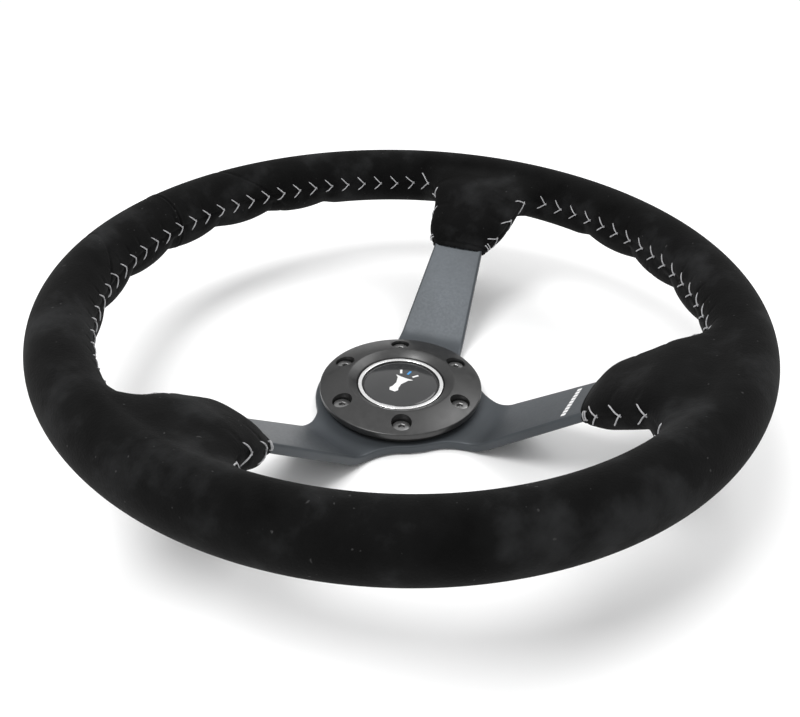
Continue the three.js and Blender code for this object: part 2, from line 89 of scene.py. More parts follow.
HUB_BEND_RADIUS = (DISH_CORNER - BEND_START) / math.tan(DISH_ANGLE / 2)
HUB_BEND_END = BEND_START + HUB_BEND_RADIUS * math.sin(DISH_ANGLE)
RIM_CORNER = DISH_CORNER + (RIM_HEIGHT - HALF_PLATE) / math.tan(DISH_ANGLE)
RIM_BEND_END = RIM_CORNER + RIM_BEND_RADIUS * math.tan(DISH_ANGLE / 2)
RIM_BEND_START = RIM_BEND_END - RIM_BEND_RADIUS * math.sin(DISH_ANGLE)


def dish_line(distance):
    """Height and tilt of the plate's middle line at a distance from the column's axis."""
    s = np.asarray(distance, float)
    hub = np.arcsin(np.clip((s - BEND_START) / HUB_BEND_RADIUS, 0, 1))
    rim = np.arcsin(np.clip((RIM_BEND_END - s) / RIM_BEND_RADIUS, 0, 1))
    height = np.select(
        [s <= BEND_START, s < HUB_BEND_END, s <= RIM_BEND_START, s < RIM_BEND_END],
        [
            HALF_PLATE + 0 * s,
            HALF_PLATE + HUB_BEND_RADIUS * (1 - np.cos(hub)),
            HALF_PLATE + (s - DISH_CORNER) * math.tan(DISH_ANGLE),
            RIM_HEIGHT - RIM_BEND_RADIUS * (1 - np.cos(rim)),
        ],
        RIM_HEIGHT,
    )
    tilt = np.minimum(np.minimum(hub, rim), DISH_ANGLE)
    return height, tilt


def direction(angle):
    """Unit vector in plan at an angle."""
    return np.array([math.cos(angle), math.sin(angle)])


def spoke_axes(angle):
    """Unit vectors along and across a spoke, seen from the driver."""
    return direction(angle), np.array([-math.sin(angle), math.cos(angle)])


def nearest_spoke(points):
    """Index of the spoke nearest in angle to each point, with its distances along and across."""
    along = np.stack([points[:, :2] @ spoke_axes(angle)[0] for angle in SPOKES])
    across = np.stack([points[:, :2] @ spoke_axes(angle)[1] for angle in SPOKES])
    nearest = np.argmax(along, axis=0)
    rows = np.arange(len(points))
    return nearest, along[nearest, rows], across[nearest, rows]


# ------------------------------------------------------------------ shape of the grip

SLEEVE_TIPS = [102.5 * MM, 102.5 * MM, 100.2 * MM]
SLEEVE_SHIFTS = [0, 3 * MM, -2.3 * MM]    # how far out each sleeve's stations are moved
SLEEVE_REACH = 158 * MM            # the sleeve ends inside the rim
# Stations of the padded sleeve: distance from the axis, half-width, thickness towards the
# driver and away from the driver, all in mm.
SLEEVE_STATIONS = [
    (100, 15.8, 4.4, 4.6),
    (103, 16.8, 5.0, 5.2),
    (106, 17.8, 5.8, 7.0),
    (110, 20.4, 8.8, 9.6),
    (114, 22.0, 10.2, 10.8),
    (120, 22.0, 9.8, 11.4),
    (126, 22.8, 9.2, 11.8),
    (132, 25.4, 9.2, 12.0),
    (138, 29.6, 9.4, 12.0),
    (144, 35.0, 9.6, 12.0),
    (150, 41.0, 9.0, 12.0),
    (165, 44.0, 7.0, 10.0),
]
SLEEVE_POWER = 2.5                 # 2 is an ellipse, more is boxier
STATION_STEP = 0.5 * MM
SMOOTHING_STEPS = 8                # how far the stations' smoothing reaches, in steps
SMOOTHING_WIDTH = 4.0
SLEEVE_ZONE = 85 * MM              # sleeves are only worked out beyond this radius
# Sides of each sleeve that flare out early towards the rim: those of the two lower windows.
FLARED_SIDES = [(-1,), (1,), (-1, 1)]
FLARE = 6 * MM
FLARE_RANGE = (106 * MM, 126 * MM)
FLARE_SIDE = 12 * MM               # the flare sets in over this much of the sleeve's width
SLEEVE_BLEND = 14 * MM
CREST_BLEND = 4 * MM               # little blending on the rim's crest, so that it runs level
BLEND_FADE = (137 * MM, 158 * MM)
TIP_ROUNDING = 2.5 * MM
SCALLOP_PITCH = math.radians(14.2)
SCALLOP_RISE = 1.1 * MM
SCALLOP_DEPTH = 1.8 * MM
SCALLOP_SHARPNESS = 1.2
SCALLOP_FADE = (0.35, 0.1)         # how far outside and inside a row's ends it fades, in bumps
SCALLOP_TUBE_ANGLES = [math.radians(angle) for angle in (186, 206, 248, 282)]
# Middle of each row of finger bumps round the wheel, and the number of bumps in it.
SCALLOP_ROWS = [(math.radians(91.0), 6), (math.radians(220), 4), (math.radians(320.7), 3)]


def smooth_stations():
    """The sleeve's stations as even, rounded curves of half-width and thicknesses."""
    table = np.array(SLEEVE_STATIONS) * MM
    grid = np.arange(table[0, 0], table[-1, 0], STATION_STEP)
    kernel = np.exp(-(np.arange(-SMOOTHING_STEPS, SMOOTHING_STEPS + 1) / SMOOTHING_WIDTH) ** 2)
    kernel /= kernel.sum()
    curves = []
    for column in range(1, 4):
        line = np.interp(grid, table[:, 0], table[:, column])
        padded = np.pad(line, SMOOTHING_STEPS, mode="edge")
        curves.append(np.convolve(padded, kernel, mode="valid"))
    return grid, curves


STATION_GRID, STATION_CURVES = smooth_stations()
# Points of the dish line, closest together round the rim's bend.
PATH_S = np.concatenate([
    np.arange(80, 122, 4),
    np.arange(122, 140, 1),
    np.arange(140, 185, 4),
]) * MM
PATH = np.stack([PATH_S, dish_line(PATH_S)[0]], axis=1)


def on_dish(along, height):
    """Foot of each point on the dish line, and its signed distance on the driver's side."""
    start, step = PATH[:-1], np.diff(PATH, axis=0)
    point = np.stack([along, height], axis=1)[:, None, :]
    share = ((point - start) * step).sum(2) / (step ** 2).sum(1)
    share = np.clip(share, 0, 1)
    offset = point - (start + share[..., None] * step)
    best = np.argmin((offset ** 2).sum(2), axis=1)
    rows = np.arange(len(along))
    foot = start[best, 0] + share[rows, best] * step[best, 0]
    away = offset[rows, best]
    side = step[best, 0] * away[:, 1] - step[best, 1] * away[:, 0]
    return foot, np.sign(side) * np.sqrt((away ** 2).sum(1))


def smoothstep(value, low, high):
    share = np.clip((value - low) / (high - low), 0, 1)
    return share ** 2 * (3 - 2 * share)


def band(value, rise, full, fade, end):
    """1 between two values, easing in before them and out after them."""
    return smoothstep(value, rise, full) * (1 - smoothstep(value, fade, end))


def smooth_min(a, b, width):
    """The smaller of two distances, with the crease between them rounded."""
    overlap = np.clip(width - np.abs(a - b), 0, None) / width
    return np.minimum(a, b) - overlap ** 2 * width / 4


def ring_distance(points):
    """Distance to the rim's grip, with finger scallops on the inner side away from the driver."""
    radius = np.hypot(points[:, 0], points[:, 1])
    out, up = radius - RIM_RADIUS, points[:, 2] - RIM_HEIGHT
    q = np.sqrt((out / GRIP_RADIAL) ** 2 + (up / GRIP_AXIAL) ** 2) + 1e-9
    slope = np.sqrt((out / GRIP_RADIAL ** 2) ** 2 + (up / GRIP_AXIAL ** 2) ** 2) / q + 1e-9
    tube = np.mod(np.arctan2(up, out), 2 * math.pi)
    side = smoothstep(tube, *SCALLOP_TUBE_ANGLES[:2]) - smoothstep(tube, *SCALLOP_TUBE_ANGLES[2:])
    wheel_angle = np.arctan2(points[:, 1], points[:, 0])
    relief = np.zeros(len(points))
    outside, within = SCALLOP_FADE
    for centre, count in SCALLOP_ROWS:
        turn = np.angle(np.exp(1j * (wheel_angle - centre))) / SCALLOP_PITCH + count / 2
        bump = np.abs(np.sin(math.pi * turn))
        share = band(turn, -outside, within, count - within, count + outside)
        valley = SCALLOP_DEPTH * (1 - bump) ** SCALLOP_SHARPNESS
        relief += share * (valley - SCALLOP_RISE * bump)
    return (q - 1) / slope + side * relief


def sleeve_distance(points, spoke):
    """Distance to the padded sleeve on one spoke."""
    lengthwise, sideways = spoke_axes(SPOKES[spoke])
    along, across = points[:, :2] @ lengthwise, points[:, :2] @ sideways
    foot, normal = on_dish(along, points[:, 2])
    station = foot - SLEEVE_SHIFTS[spoke]
    width, front, rear = [np.interp(station, STATION_GRID, curve) for curve in STATION_CURVES]
    flared = np.isin(np.sign(across), FLARED_SIDES[spoke])
    width = width + FLARE * flared * smoothstep(foot, *FLARE_RANGE) * smoothstep(
        np.abs(across), 0, FLARE_SIDE)
    thick = np.where(normal > 0, front, rear)
    a, b = np.abs(across) / width + 1e-9, np.abs(normal) / thick + 1e-9
    q = (a ** SLEEVE_POWER + b ** SLEEVE_POWER) ** (1 / SLEEVE_POWER)
    slope = np.hypot((a / q) ** (SLEEVE_POWER - 1) / width, (b / q) ** (SLEEVE_POWER - 1) / thick)
    side = (q - 1) / slope
    tip = (SLEEVE_TIPS[spoke] - foot) / math.cos(DISH_ANGLE)
    shell = -smooth_min(-side, -tip, TIP_ROUNDING * 2)
    return np.maximum(shell, along - SLEEVE_REACH)


def grip_distance(points):
    """Signed distance to the whole grip: the ring and the three sleeves, run into each other."""
    distance = ring_distance(points)
    for spoke, angle in enumerate(SPOKES):
        lengthwise, sideways = spoke_axes(angle)
        along, across = points[:, :2] @ lengthwise, points[:, :2] @ sideways
        near = (along > SLEEVE_ZONE) & (np.abs(across) < SLEEVE_ZONE)
        if near.any():
            sleeve = sleeve_distance(points[near], spoke)
            radius = np.hypot(points[near, 0], points[near, 1])
            fade = smoothstep(radius, *BLEND_FADE)
            width = SLEEVE_BLEND + (CREST_BLEND - SLEEVE_BLEND) * fade
            distance[near] = smooth_min(distance[near], sleeve, width)
    return distance


def gradient(points, function=grip_distance, step=0.05 * MM):
    slopes = [
        (function(points + step * axis) - function(points - step * axis)) / (2 * step)
        for axis in np.eye(3)
    ]
    return np.stack(slopes, axis=1)


def surface_normal(points):
    """Unit vectors out of the grip."""
    normal = gradient(points)
    return normal / np.linalg.norm(normal, axis=1, keepdims=True)


def settle(points, function=grip_distance, rounds=3):
    """Moves points along the gradient on to the surface."""
    for _ in range(rounds):
        slope = gradient(points, function)
        size = (slope ** 2).sum(1, keepdims=True) + 1e-6
        points = points - function(points)[:, None] * slope / size
    return points


def surface_net(function, low, high, step):
    """Quads round the zero level of a distance function, one vertex in each crossed cell."""
    axes = [np.arange(a, b + step, step) for a, b in zip(low, high)]
    grid = np.stack(np.meshgrid(*axes, indexing="ij"), axis=-1)
    shape = grid.shape[:3]
    value = function(grid.reshape(-1, 3)).reshape(shape)
    cells = tuple(n - 1 for n in shape)
    total, count = np.zeros(cells + (3,)), np.zeros(cells)
    crossings = []
    for axis in range(3):
        first = [slice(None)] * 3
        second = [slice(None)] * 3
        first[axis], second[axis] = slice(0, -1), slice(1, None)
        a, b = value[tuple(first)], value[tuple(second)]
        crossed = (a < 0) != (b < 0)
        share = np.where(crossed, a / np.where(crossed, a - b, 1), 0)
        place = grid[tuple(first)].copy()
        place[..., axis] += share * step
        crossings.append((crossed, a < 0))
        others = [k for k in range(3) if k != axis]
        for j in (0, 1):
            for k in (0, 1):
                window = [slice(None)] * 3
                window[others[0]] = slice(j, cells[others[0]] + j)
                window[others[1]] = slice(k, cells[others[1]] + k)
                hit = crossed[tuple(window)]
                total += place[tuple(window)] * hit[..., None]
                count += hit
    index = np.full(cells, -1)
    active = count > 0
    index[active] = np.arange(active.sum())
    vertices = total[active] / count[active][:, None]
    faces = []
    for axis, (crossed, inside) in enumerate(crossings):
        u, v = [k for k in range(3) if k != axis]
        where = np.argwhere(crossed)
        flip = inside[crossed] != (axis == 1)
        corners = []
        for du, dv in ((-1, -1), (0, -1), (0, 0), (-1, 0)):
            cell = where.copy()
            cell[:, u] += du
            cell[:, v] += dv
            corners.append(index[tuple(cell.T)])
        quads = np.stack(corners, axis=1)
        faces.append(np.where(flip[:, None], quads, quads[:, ::-1]))
    return vertices, np.concatenate(faces)


def relaxed(vertices, faces, function, rounds=4, pull=0.6):
    """Evens the net out: each vertex moves towards its neighbours, then back on the surface."""
    edges = np.concatenate([faces[:, [k, (k + 1) % 4]] for k in range(4)])
    edges = np.unique(np.sort(edges, axis=1), axis=0)
    degree = np.bincount(edges.ravel(), minlength=len(vertices))[:, None]
    for _ in range(rounds):
        total = np.zeros_like(vertices)
        np.add.at(total, edges[:, 0], vertices[edges[:, 1]])
        np.add.at(total, edges[:, 1], vertices[edges[:, 0]])
        vertices = settle(vertices + pull * (total / degree - vertices), function, 1)
    return settle(vertices, function, 2)


# ------------------------------------------------------------------ small building helpers

MERGE_DISTANCE = 0.002 * MM
TUBE_UP = (0.3, 0.2, 1.0)          # a direction that no tube follows


def mesh_object(name, vertices, faces, smooth=True):
    mesh = bpy.data.meshes.new(name)
    mesh.from_pydata(np.asarray(vertices).tolist(), [], [list(map(int, face)) for face in faces])
    mesh.validate()
    mesh.polygons.foreach_set("use_smooth", [smooth] * len(mesh.polygons))
    mesh.update()
    obj = bpy.data.objects.new(name, mesh)
    bpy.context.collection.objects.link(obj)
    return obj


def finish_piece(obj, material, body="wheel", replaces=()):
    """Gives a piece its material and body, and hides the CAD nodes that it stands for."""
    obj.data.materials.clear()
    obj.data.materials.append(material)
    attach(obj, body)
    if replaces:
        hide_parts(*replaces)
    return obj


def ring_faces(rows, size, start=0, closed=False):
    """Quads between neighbouring rings of points that follow each other in a vertex list."""
    faces = []
    for row in range(rows if closed else rows - 1):
        here = start + row * size
        below = start + (row + 1) % rows * size
        for k in range(size):
            after = (k + 1) % size
            faces.append([here + k, below + k, below + after, here + after])
    return faces


def lathe(name, profile, segments=192):
    """A closed solid turned round the column's axis from (radius, height) points."""
    turn = np.arange(segments) * 2 * math.pi / segments
    ring = np.stack([np.cos(turn), np.sin(turn)], axis=1)
    vertices = np.concatenate([
        np.column_stack([radius * ring, np.full(segments, height)]) for radius, height in profile
    ])
    obj = mesh_object(name, vertices, ring_faces(len(profile), segments, closed=True))
    clean_mesh(obj)
    return obj


@contextmanager
def net_of(obj):
    """The object's mesh as a bmesh, which is written back at the end."""
    net = bmesh.new()
    net.from_mesh(obj.data)
    yield net
    net.to_mesh(obj.data)
    net.free()


def clean_mesh(obj):
    """Merges points in the same place and turns every face outwards."""
    with net_of(obj) as net:
        bmesh.ops.remove_doubles(net, verts=net.verts, dist=MERGE_DISTANCE)
        bmesh.ops.recalc_face_normals(net, faces=net.faces)


def rounded(corners, radius, steps=3):
    """A closed outline with every corner rounded, by no more than two fifths of either side."""
    outline = []
    count = len(corners)
    for index in range(count):
        before, corner, after = (
            np.array(corners[(index + shift) % count], float) for shift in (-1, 0, 1)
        )
        reach = min(radius, np.linalg.norm(before - corner) / 2.5,
                    np.linalg.norm(after - corner) / 2.5)
        start = corner + (before - corner) / np.linalg.norm(before - corner) * reach
        end = corner + (after - corner) / np.linalg.norm(after - corner) * reach
        for step in range(steps + 1):
            t = step / steps
            outline.append((1 - t) ** 2 * start + 2 * t * (1 - t) * corner + t ** 2 * end)
    return outline


def tube(path, radius, sides=6):
    """A closed tube along a path, as vertices and faces."""
    path = np.array(path)
    tangent = np.gradient(path, axis=0)
    tangent /= np.linalg.norm(tangent, axis=1, keepdims=True) + 1e-12
    side = np.cross(tangent, TUBE_UP)
    side /= np.linalg.norm(side, axis=1, keepdims=True) + 1e-12
    lift = np.cross(side, tangent)
    vertices, faces = [], []
    for k, point in enumerate(path):
        for j in range(sides):
            turn = 2 * math.pi * j / sides
            vertices.append(point + radius * (math.cos(turn) * side[k] + math.sin(turn) * lift[k]))
    for k in range(len(path) - 1):
        for j in range(sides):
            a, b = k * sides + j, k * sides + (j + 1) % sides
            faces.append([a, b, b + sides, a + sides])
    faces.append(list(range(sides))[::-1])
    faces.append([(len(path) - 1) * sides + j for j in range(sides)])
    return vertices, faces


def merged(parts):
    """Several (vertices, faces) pairs as one."""
    vertices, faces = [], []
    for part_vertices, part_faces in parts:
        start = len(vertices)
        vertices.extend(part_vertices)
        faces.extend([[start + index for index in face] for face in part_faces])
    return vertices, faces


# ------------------------------------------------------------------ seam, stitches and cover

WINDOW_MIDDLE = 88 * MM            # from the axis to a point inside each window
SEAM_RAYS = 900
SEAM_SEARCH = (2, 150)             # nearest and furthest place of a window's edge, in mm
SEAM_HALVINGS = 12
SEAM_START = 1.5 * MM              # the seam starts this far out from a sleeve's end
SEAM_CLIMB = (30 * MM, 48 * MM)    # beside a spoke, where the seam climbs to the rim's middle
SEAM_STEP = 0.5 * MM
SEAM_CLEAR = 45 * MM               # further than this beside a spoke the whole seam is sewn
STITCH_PITCH = 10.7 * MM
SLEEVE_SEWING = (30 * MM, 42 * MM)  # beside a spoke, where its wider sewing ends
FIRST_STITCH = 2.2                 # place of the first stitch, in openings of a stitch
SLEEVE_PITCH = 1.35                # stitches on the sleeves are this much further apart
SLEEVE_STITCH = 1.35               # and this much longer
STITCH_OPEN = 4.4 * MM             # how far a stitch's arms open along the seam
STITCH_FRONT = 4.7 * MM
STITCH_BACK = 4.2 * MM
THREAD_RADIUS = 0.34 * MM
THREAD_SUNK = -0.75 * MM           # how deep a thread's ends go into the suede
THREAD_PROUD = 0.2 * MM
THREAD_OVERRUN = 0.12              # share of an arm that runs on inside the suede at each end
THREAD_POINTS = 8
KNOT_START, KNOT_PITCH = 1.2 * MM, 1.1 * MM
KNOT_WRAPS = 2
KNOT_HALF = 2.6 * MM
KNOT_PROUD = 0.35 * MM
KNOT_POINTS = 9
SEAM_RAISE = 2.6 * MM              # how far the seam lies above the middle of a sleeve's edge
SEAM_GROOVE = 0.7 * MM
SEAM_HALF = 1.3 * MM
SEAM_PULL, SEAM_PULL_HALF = 0.35 * MM, 3.2 * MM    # where the stitches draw the suede in
CREASE_HALF = 0.8 * MM
PUCKER_DEPTH = 0.28 * MM
PUCKER_BACK_SHARE = 0.6
# Distances from the seam at which the puckers begin, are full, begin to fade and end, towards
# the driver and away.
PUCKER_FRONT = (3.6 * MM, 5.0 * MM, 7 * MM, 11 * MM)
PUCKER_BACK = (3.6 * MM, 4.6 * MM, 5 * MM, 9 * MM)
PUCKER_REACH = 14 * MM
HEM_WIDTH = 3.4 * MM
HEM_GROOVE = 0.7 * MM
HEM_DEPTH = 0.55 * MM
CROSS_SEAM = math.radians(89)
CROSS_GROOVE_DEPTH, CROSS_GROOVE_HALF = 0.36 * MM, 0.45 * MM
CROSS_RIDGE_HEIGHT, CROSS_RIDGE_HALF = 0.28 * MM, 0.9 * MM
CROSS_RIDGE_PLACE = 1.3 * MM
TIP_OPENING = (1.2 * MM, 15.5 * MM, 4.2 * MM)      # depth, half-width and half-height
SEAM_REFINING = (13 * MM, 4.5 * MM)                # the suede's net is split this near a seam
CROSS_REFINING = 3.5 * MM
WINDOW_CENTRES = [math.radians(angle) for angle in (90, 220, 320)]


def seam_height(points):
    """Height of the seam: on the sleeve's edge near a spoke, the rim's middle elsewhere."""
    _, along, across = nearest_spoke(points)
    dish = dish_line(along)[0] + SEAM_RAISE
    away = smoothstep(np.abs(across), *SEAM_CLIMB)
    return dish + (RIM_HEIGHT - dish) * away


def seam_points(origin, rays, distance):
    """Points at distances along level rays, raised to the seam's height."""
    plan = origin + rays * np.reshape(distance, (-1, 1))
    points = np.column_stack([plan, np.zeros(len(plan))])
    points[:, 2] = seam_height(points)
    return points


def seam_curve(centre):
    """One window's edge at the seam's height, in even steps, from higher to lower angle."""
    origin = WINDOW_MIDDLE * direction(centre)
    turns = np.arange(SEAM_RAYS) * 2 * math.pi / SEAM_RAYS
    rays = np.stack([np.cos(turns), np.sin(turns)], axis=1)
    hit = np.full(SEAM_RAYS, np.nan)
    for distance in np.arange(*SEAM_SEARCH, 1.0) * MM:
        inside = grip_distance(seam_points(origin, rays, distance)) < 0
        hit[inside & np.isnan(hit)] = distance
    found = np.flatnonzero(~np.isnan(hit))
    low, high = hit[found] - 1 * MM, hit[found]
    for _ in range(SEAM_HALVINGS):
        middle = (low + high) / 2
        line = seam_points(origin, rays[found], middle)
        inside = grip_distance(line) < 0
        high = np.where(inside, middle, high)
        low = np.where(inside, low, middle)
    gap = np.argmax(np.diff(np.append(found, found[0] + SEAM_RAYS)))
    line = np.roll(line, -(gap + 1), axis=0)
    spoke, along, across = nearest_spoke(line)
    sewn = along > np.array(SLEEVE_TIPS)[spoke] + SEAM_START
    line = line[sewn | (np.abs(across) > SEAM_CLEAR)]
    return resampled(line[::-1], SEAM_STEP)


def resampled(line, step):
    """The same line with its points a step apart."""
    length = np.concatenate([[0], np.cumsum(np.linalg.norm(np.diff(line, axis=0), axis=1))])
    even = np.arange(0, length[-1], step)
    return np.stack([np.interp(even, length, line[:, axis]) for axis in range(3)], axis=1)


def front_vectors(line):
    """The way towards the driver, square to a seam and along the surface, at each of its points."""
    front = np.cross(np.gradient(line, axis=0), gradient(line))
    front /= np.linalg.norm(front, axis=1, keepdims=True)
    return front * np.where(front[:, 2:] < 0, -1, 1)


def on_sleeve(point):
    """From 0 on the rim to 1 beside a spoke."""
    _, _, across = nearest_spoke(point[None])
    return 1 - smoothstep(abs(across[0]), *SLEEVE_SEWING)


def stitch_places(line):
    """Indices along a seam at which the point of a stitch lies, further apart on the sleeves."""
    places = [round(FIRST_STITCH * STITCH_OPEN / SEAM_STEP)]
    while places[-1] < len(line) - STITCH_OPEN / SEAM_STEP:
        pitch = STITCH_PITCH * (1 + (SLEEVE_PITCH - 1) * on_sleeve(line[places[-1]]))
        places.append(places[-1] + round(pitch / SEAM_STEP))
    return places[:-1]


def point_tree(points):
    """A search tree of points."""
    tree = kdtree.KDTree(len(points))
    for index, point in enumerate(points):
        tree.insert(point, index)
    tree.balance()
    return tree


def seam_relief(points, seams):
    """How far the suede is pulled in along the seam, under the stitches and in the puckers."""
    seam = np.concatenate([line for line, _, _ in seams])
    fronts = np.concatenate([front for _, front, _ in seams])
    phase = np.concatenate([
        np.interp(np.arange(len(line)), places, np.arange(len(places)))
        for line, _, places in seams
    ])
    tree = point_tree(seam)
    found = [tree.find(point) for point in points]
    index = np.array([hit[1] for hit in found])
    away = np.array([hit[2] for hit in found])
    across = ((points - seam[index]) * fronts[index]).sum(1)
    turn = phase[index]
    pull = 0.5 + 0.5 * np.cos(2 * math.pi * turn)
    depth = SEAM_GROOVE * np.exp(-(across / SEAM_HALF) ** 2)
    depth += SEAM_PULL * pull * np.exp(-(across / SEAM_PULL_HALF) ** 2)
    arm = np.abs((turn + STITCH_OPEN / STITCH_PITCH + 0.5) % 1 - 0.5) * STITCH_PITCH
    crease = np.exp(-(arm / CREASE_HALF) ** 2)
    pucker = band(across, *PUCKER_FRONT) + PUCKER_BACK_SHARE * band(-across, *PUCKER_BACK)
    depth += PUCKER_DEPTH * crease * pucker
    return depth * (away < PUCKER_REACH)


def cross_seam_relief(points):
    """The joint in the suede at the top of the rim: a fine groove between two soft ridges."""
    angle = np.arctan2(points[:, 1], points[:, 0]) - CROSS_SEAM
    along = angle * np.hypot(points[:, 0], points[:, 1])
    ridge = np.exp(-((np.abs(along) - CROSS_RIDGE_PLACE) / CROSS_RIDGE_HALF) ** 2)
    groove = np.exp(-(along / CROSS_GROOVE_HALF) ** 2)
    return CROSS_GROOVE_DEPTH * groove - CROSS_RIDGE_HEIGHT * ridge


def tip_distance(points):
    """How far each point lies beyond the nearest sleeve's end, along the dish."""
    spoke, along, _ = nearest_spoke(points)
    foot, _ = on_dish(along, points[:, 2])
    return (foot - np.array(SLEEVE_TIPS)[spoke]) / math.cos(DISH_ANGLE)


def hem_relief(points):
    """The folded hem at a sleeve's end: a groove behind a soft roll."""
    beyond = tip_distance(points)
    return HEM_DEPTH * np.exp(-((beyond - HEM_WIDTH) / HEM_GROOVE) ** 2)


def face_middles(net):
    return np.array([face.calc_center_median() for face in net.faces])


def refined(obj, near):
    """Splits the faces whose middles pass a test."""
    with net_of(obj) as net:
        chosen = near(face_middles(net))
        edges = {edge for face, take in zip(net.faces, chosen) if take for edge in face.edges}
        bmesh.ops.subdivide_edges(net, edges=list(edges), cuts=1, use_grid_fill=True)


def near_points(targets, reach):
    """A test of whether points lie within reach of any of the targets."""
    tree = point_tree(targets)
    return lambda points: np.array([tree.find(point)[2] < reach for point in points])


def coordinates(obj):
    flat = np.empty(len(obj.data.vertices) * 3)
    obj.data.vertices.foreach_get("co", flat)
    return flat.reshape(-1, 3)


def move_to(obj, points):
    obj.data.vertices.foreach_set("co", points.ravel())
    obj.data.update()


GRIP_LOW = (-178 * MM, -178 * MM, 30 * MM)
GRIP_HIGH = (178 * MM, 178 * MM, 84 * MM)
NET_STEP = 1.5 * MM
FOAM_STEP = 3 * MM
SUEDE_THICKNESS = 1.1 * MM
FOAM_INSET = 2.2 * MM


def grip_object(name, function, step):
    """The surface on which a distance function is zero, as an even net of quads."""
    vertices, faces = surface_net(function, GRIP_LOW, GRIP_HIGH, step)
    vertices = relaxed(vertices, faces, function)
    return mesh_object(name, vertices, faces)


def open_tips(obj):
    """Takes the end faces off the sleeves, where the spokes go in."""
    depth, half_width, half_height = TIP_OPENING
    with net_of(obj) as net:
        middles = face_middles(net)
        _, along, across = nearest_spoke(middles)
        _, height = on_dish(along, middles[:, 2])
        inner = tip_distance(middles) < depth
        inner &= (np.abs(across) < half_width) & (np.abs(height) < half_height)
        doomed = [face for face, take in zip(net.faces, inner) if take]
        bmesh.ops.delete(net, geom=doomed, context="FACES")


def build_cover(seams, material):
    """The suede: a net that is split fine where it is sewn, then pulled in there."""
    cover = grip_object("suede_cover", grip_distance, NET_STEP)
    everything = np.concatenate([line for line, _, _ in seams])[::2]
    for reach in SEAM_REFINING:
        refined(cover, near_points(everything, reach))
    refined(cover, lambda points: tip_distance(points) < 2 * HEM_WIDTH)
    turn = CROSS_REFINING / RIM_RADIUS
    refined(cover, lambda points: np.abs(
        np.arctan2(points[:, 1], points[:, 0]) - CROSS_SEAM) < turn)
    points = settle(coordinates(cover), rounds=2)
    relief = seam_relief(points, seams) + cross_seam_relief(points) + hem_relief(points)
    move_to(cover, points - surface_normal(points) * relief[:, None])
    open_tips(cover)
    shell = cover.modifiers.new("thickness", "SOLIDIFY")
    shell.thickness = SUEDE_THICKNESS
    shell.offset = -1
    finish_piece(cover, material, replaces=["rim_cover"])
    return cover


def foam_distance(points):
    return grip_distance(points) + FOAM_INSET


def build_foam(material):
    foam = grip_object("foam_core", foam_distance, FOAM_STEP)
    finish_piece(foam, material, replaces=["rim_foam"])
    return foam


def laid_on_suede(points, lift):
    """Points brought on to the grip's surface and lifted off it."""
    points = settle(points)
    return points + surface_normal(points) * lift[:, None]


def thread_path(line, front, index, arm_width):
    """One arm of a stitch, from its point on the seam out to the side and back along it."""
    size = 1 + (SLEEVE_STITCH - 1) * on_sleeve(line[index])
    shares = np.linspace(-THREAD_OVERRUN, 1 + THREAD_OVERRUN, THREAD_POINTS)
    places = np.clip(index - shares * size * STITCH_OPEN / SEAM_STEP, 0, len(line) - 1)
    steps = np.arange(len(line))
    seam = np.stack([np.interp(places, steps, line[:, axis]) for axis in range(3)], axis=1)
    points = seam + front[index] * (arm_width * size * shares)[:, None]
    bow = np.sqrt(np.sin(math.pi * np.clip(shares, 0, 1)))
    return laid_on_suede(points, THREAD_SUNK + (THREAD_PROUD - THREAD_SUNK) * bow)


def sewn_object(name, paths, material):
    """Lengths of thread as one piece."""
    vertices, faces = merged([tube(path, THREAD_RADIUS) for path in paths])
    thread = mesh_object(name, vertices, faces)
    clean_mesh(thread)
    return finish_piece(thread, material)


def build_stitches(seams, material):
    """The herringbone: two arms at every stitch of each seam."""
    paths = [
        thread_path(line, front, index, width)
        for line, front, places in seams
        for index in places
        for width in (STITCH_FRONT, -STITCH_BACK)
    ]
    return sewn_object("seam_thread", paths, material)


def build_knots(seams, material):
    """Wraps of thread across each seam where it starts and ends."""
    span = np.linspace(-1, 1, KNOT_POINTS) * KNOT_HALF
    lift = np.full(KNOT_POINTS, KNOT_PROUD)
    lift[[0, -1]] = THREAD_SUNK
    paths = []
    for line, front, _ in seams:
        for start, way in ((0, 1), (len(line) - 1, -1)):
            for wrap in range(KNOT_WRAPS):
                index = start + way * round((KNOT_START + KNOT_PITCH * wrap) / SEAM_STEP)
                across = line[index] + front[index] * span[:, None]
                paths.append(laid_on_suede(across, lift))
    return sewn_object("seam_knots", paths, material)


# ------------------------------------------------------------------ spokes

FACE_GRID = 3.2 * MM
EDGE_ROUND = 1.3 * MM
EDGE_STEPS = 4
OUTLINE_STEP = 2.5 * MM
FILLET_STEPS = 14
BORE_POINTS, HOLE_POINTS = 96, 24
GRID_REACH = 168                   # the face's grid of points reaches this far, in mm
GRID_CLEAR = 0.6                   # and keeps this share of a step away from the edges
MERGE_LIMIT = 1e-7


def blade_half_width(distance):
    return BLADE_HALF_AT_60 - (distance - 60 * MM) * BLADE_TAPER


def arc_points(centre, radius, start, end, steps):
    """Points of an arc, taken the short way round from one angle to the other."""
    sweep = (end - start + math.pi) % (2 * math.pi) - math.pi
    turns = start + np.linspace(0, 1, steps + 1) * sweep
    return [np.array(centre) + radius * direction(turn) for turn in turns]


def blade_edge(angle, side):
    """Two plan points of a blade's straight edge, at its root and its end."""
    lengthwise, sideways = spoke_axes(angle)
    return [
        lengthwise * s + sideways * side * blade_half_width(s)
        for s in (0, BLADE_END)
    ]


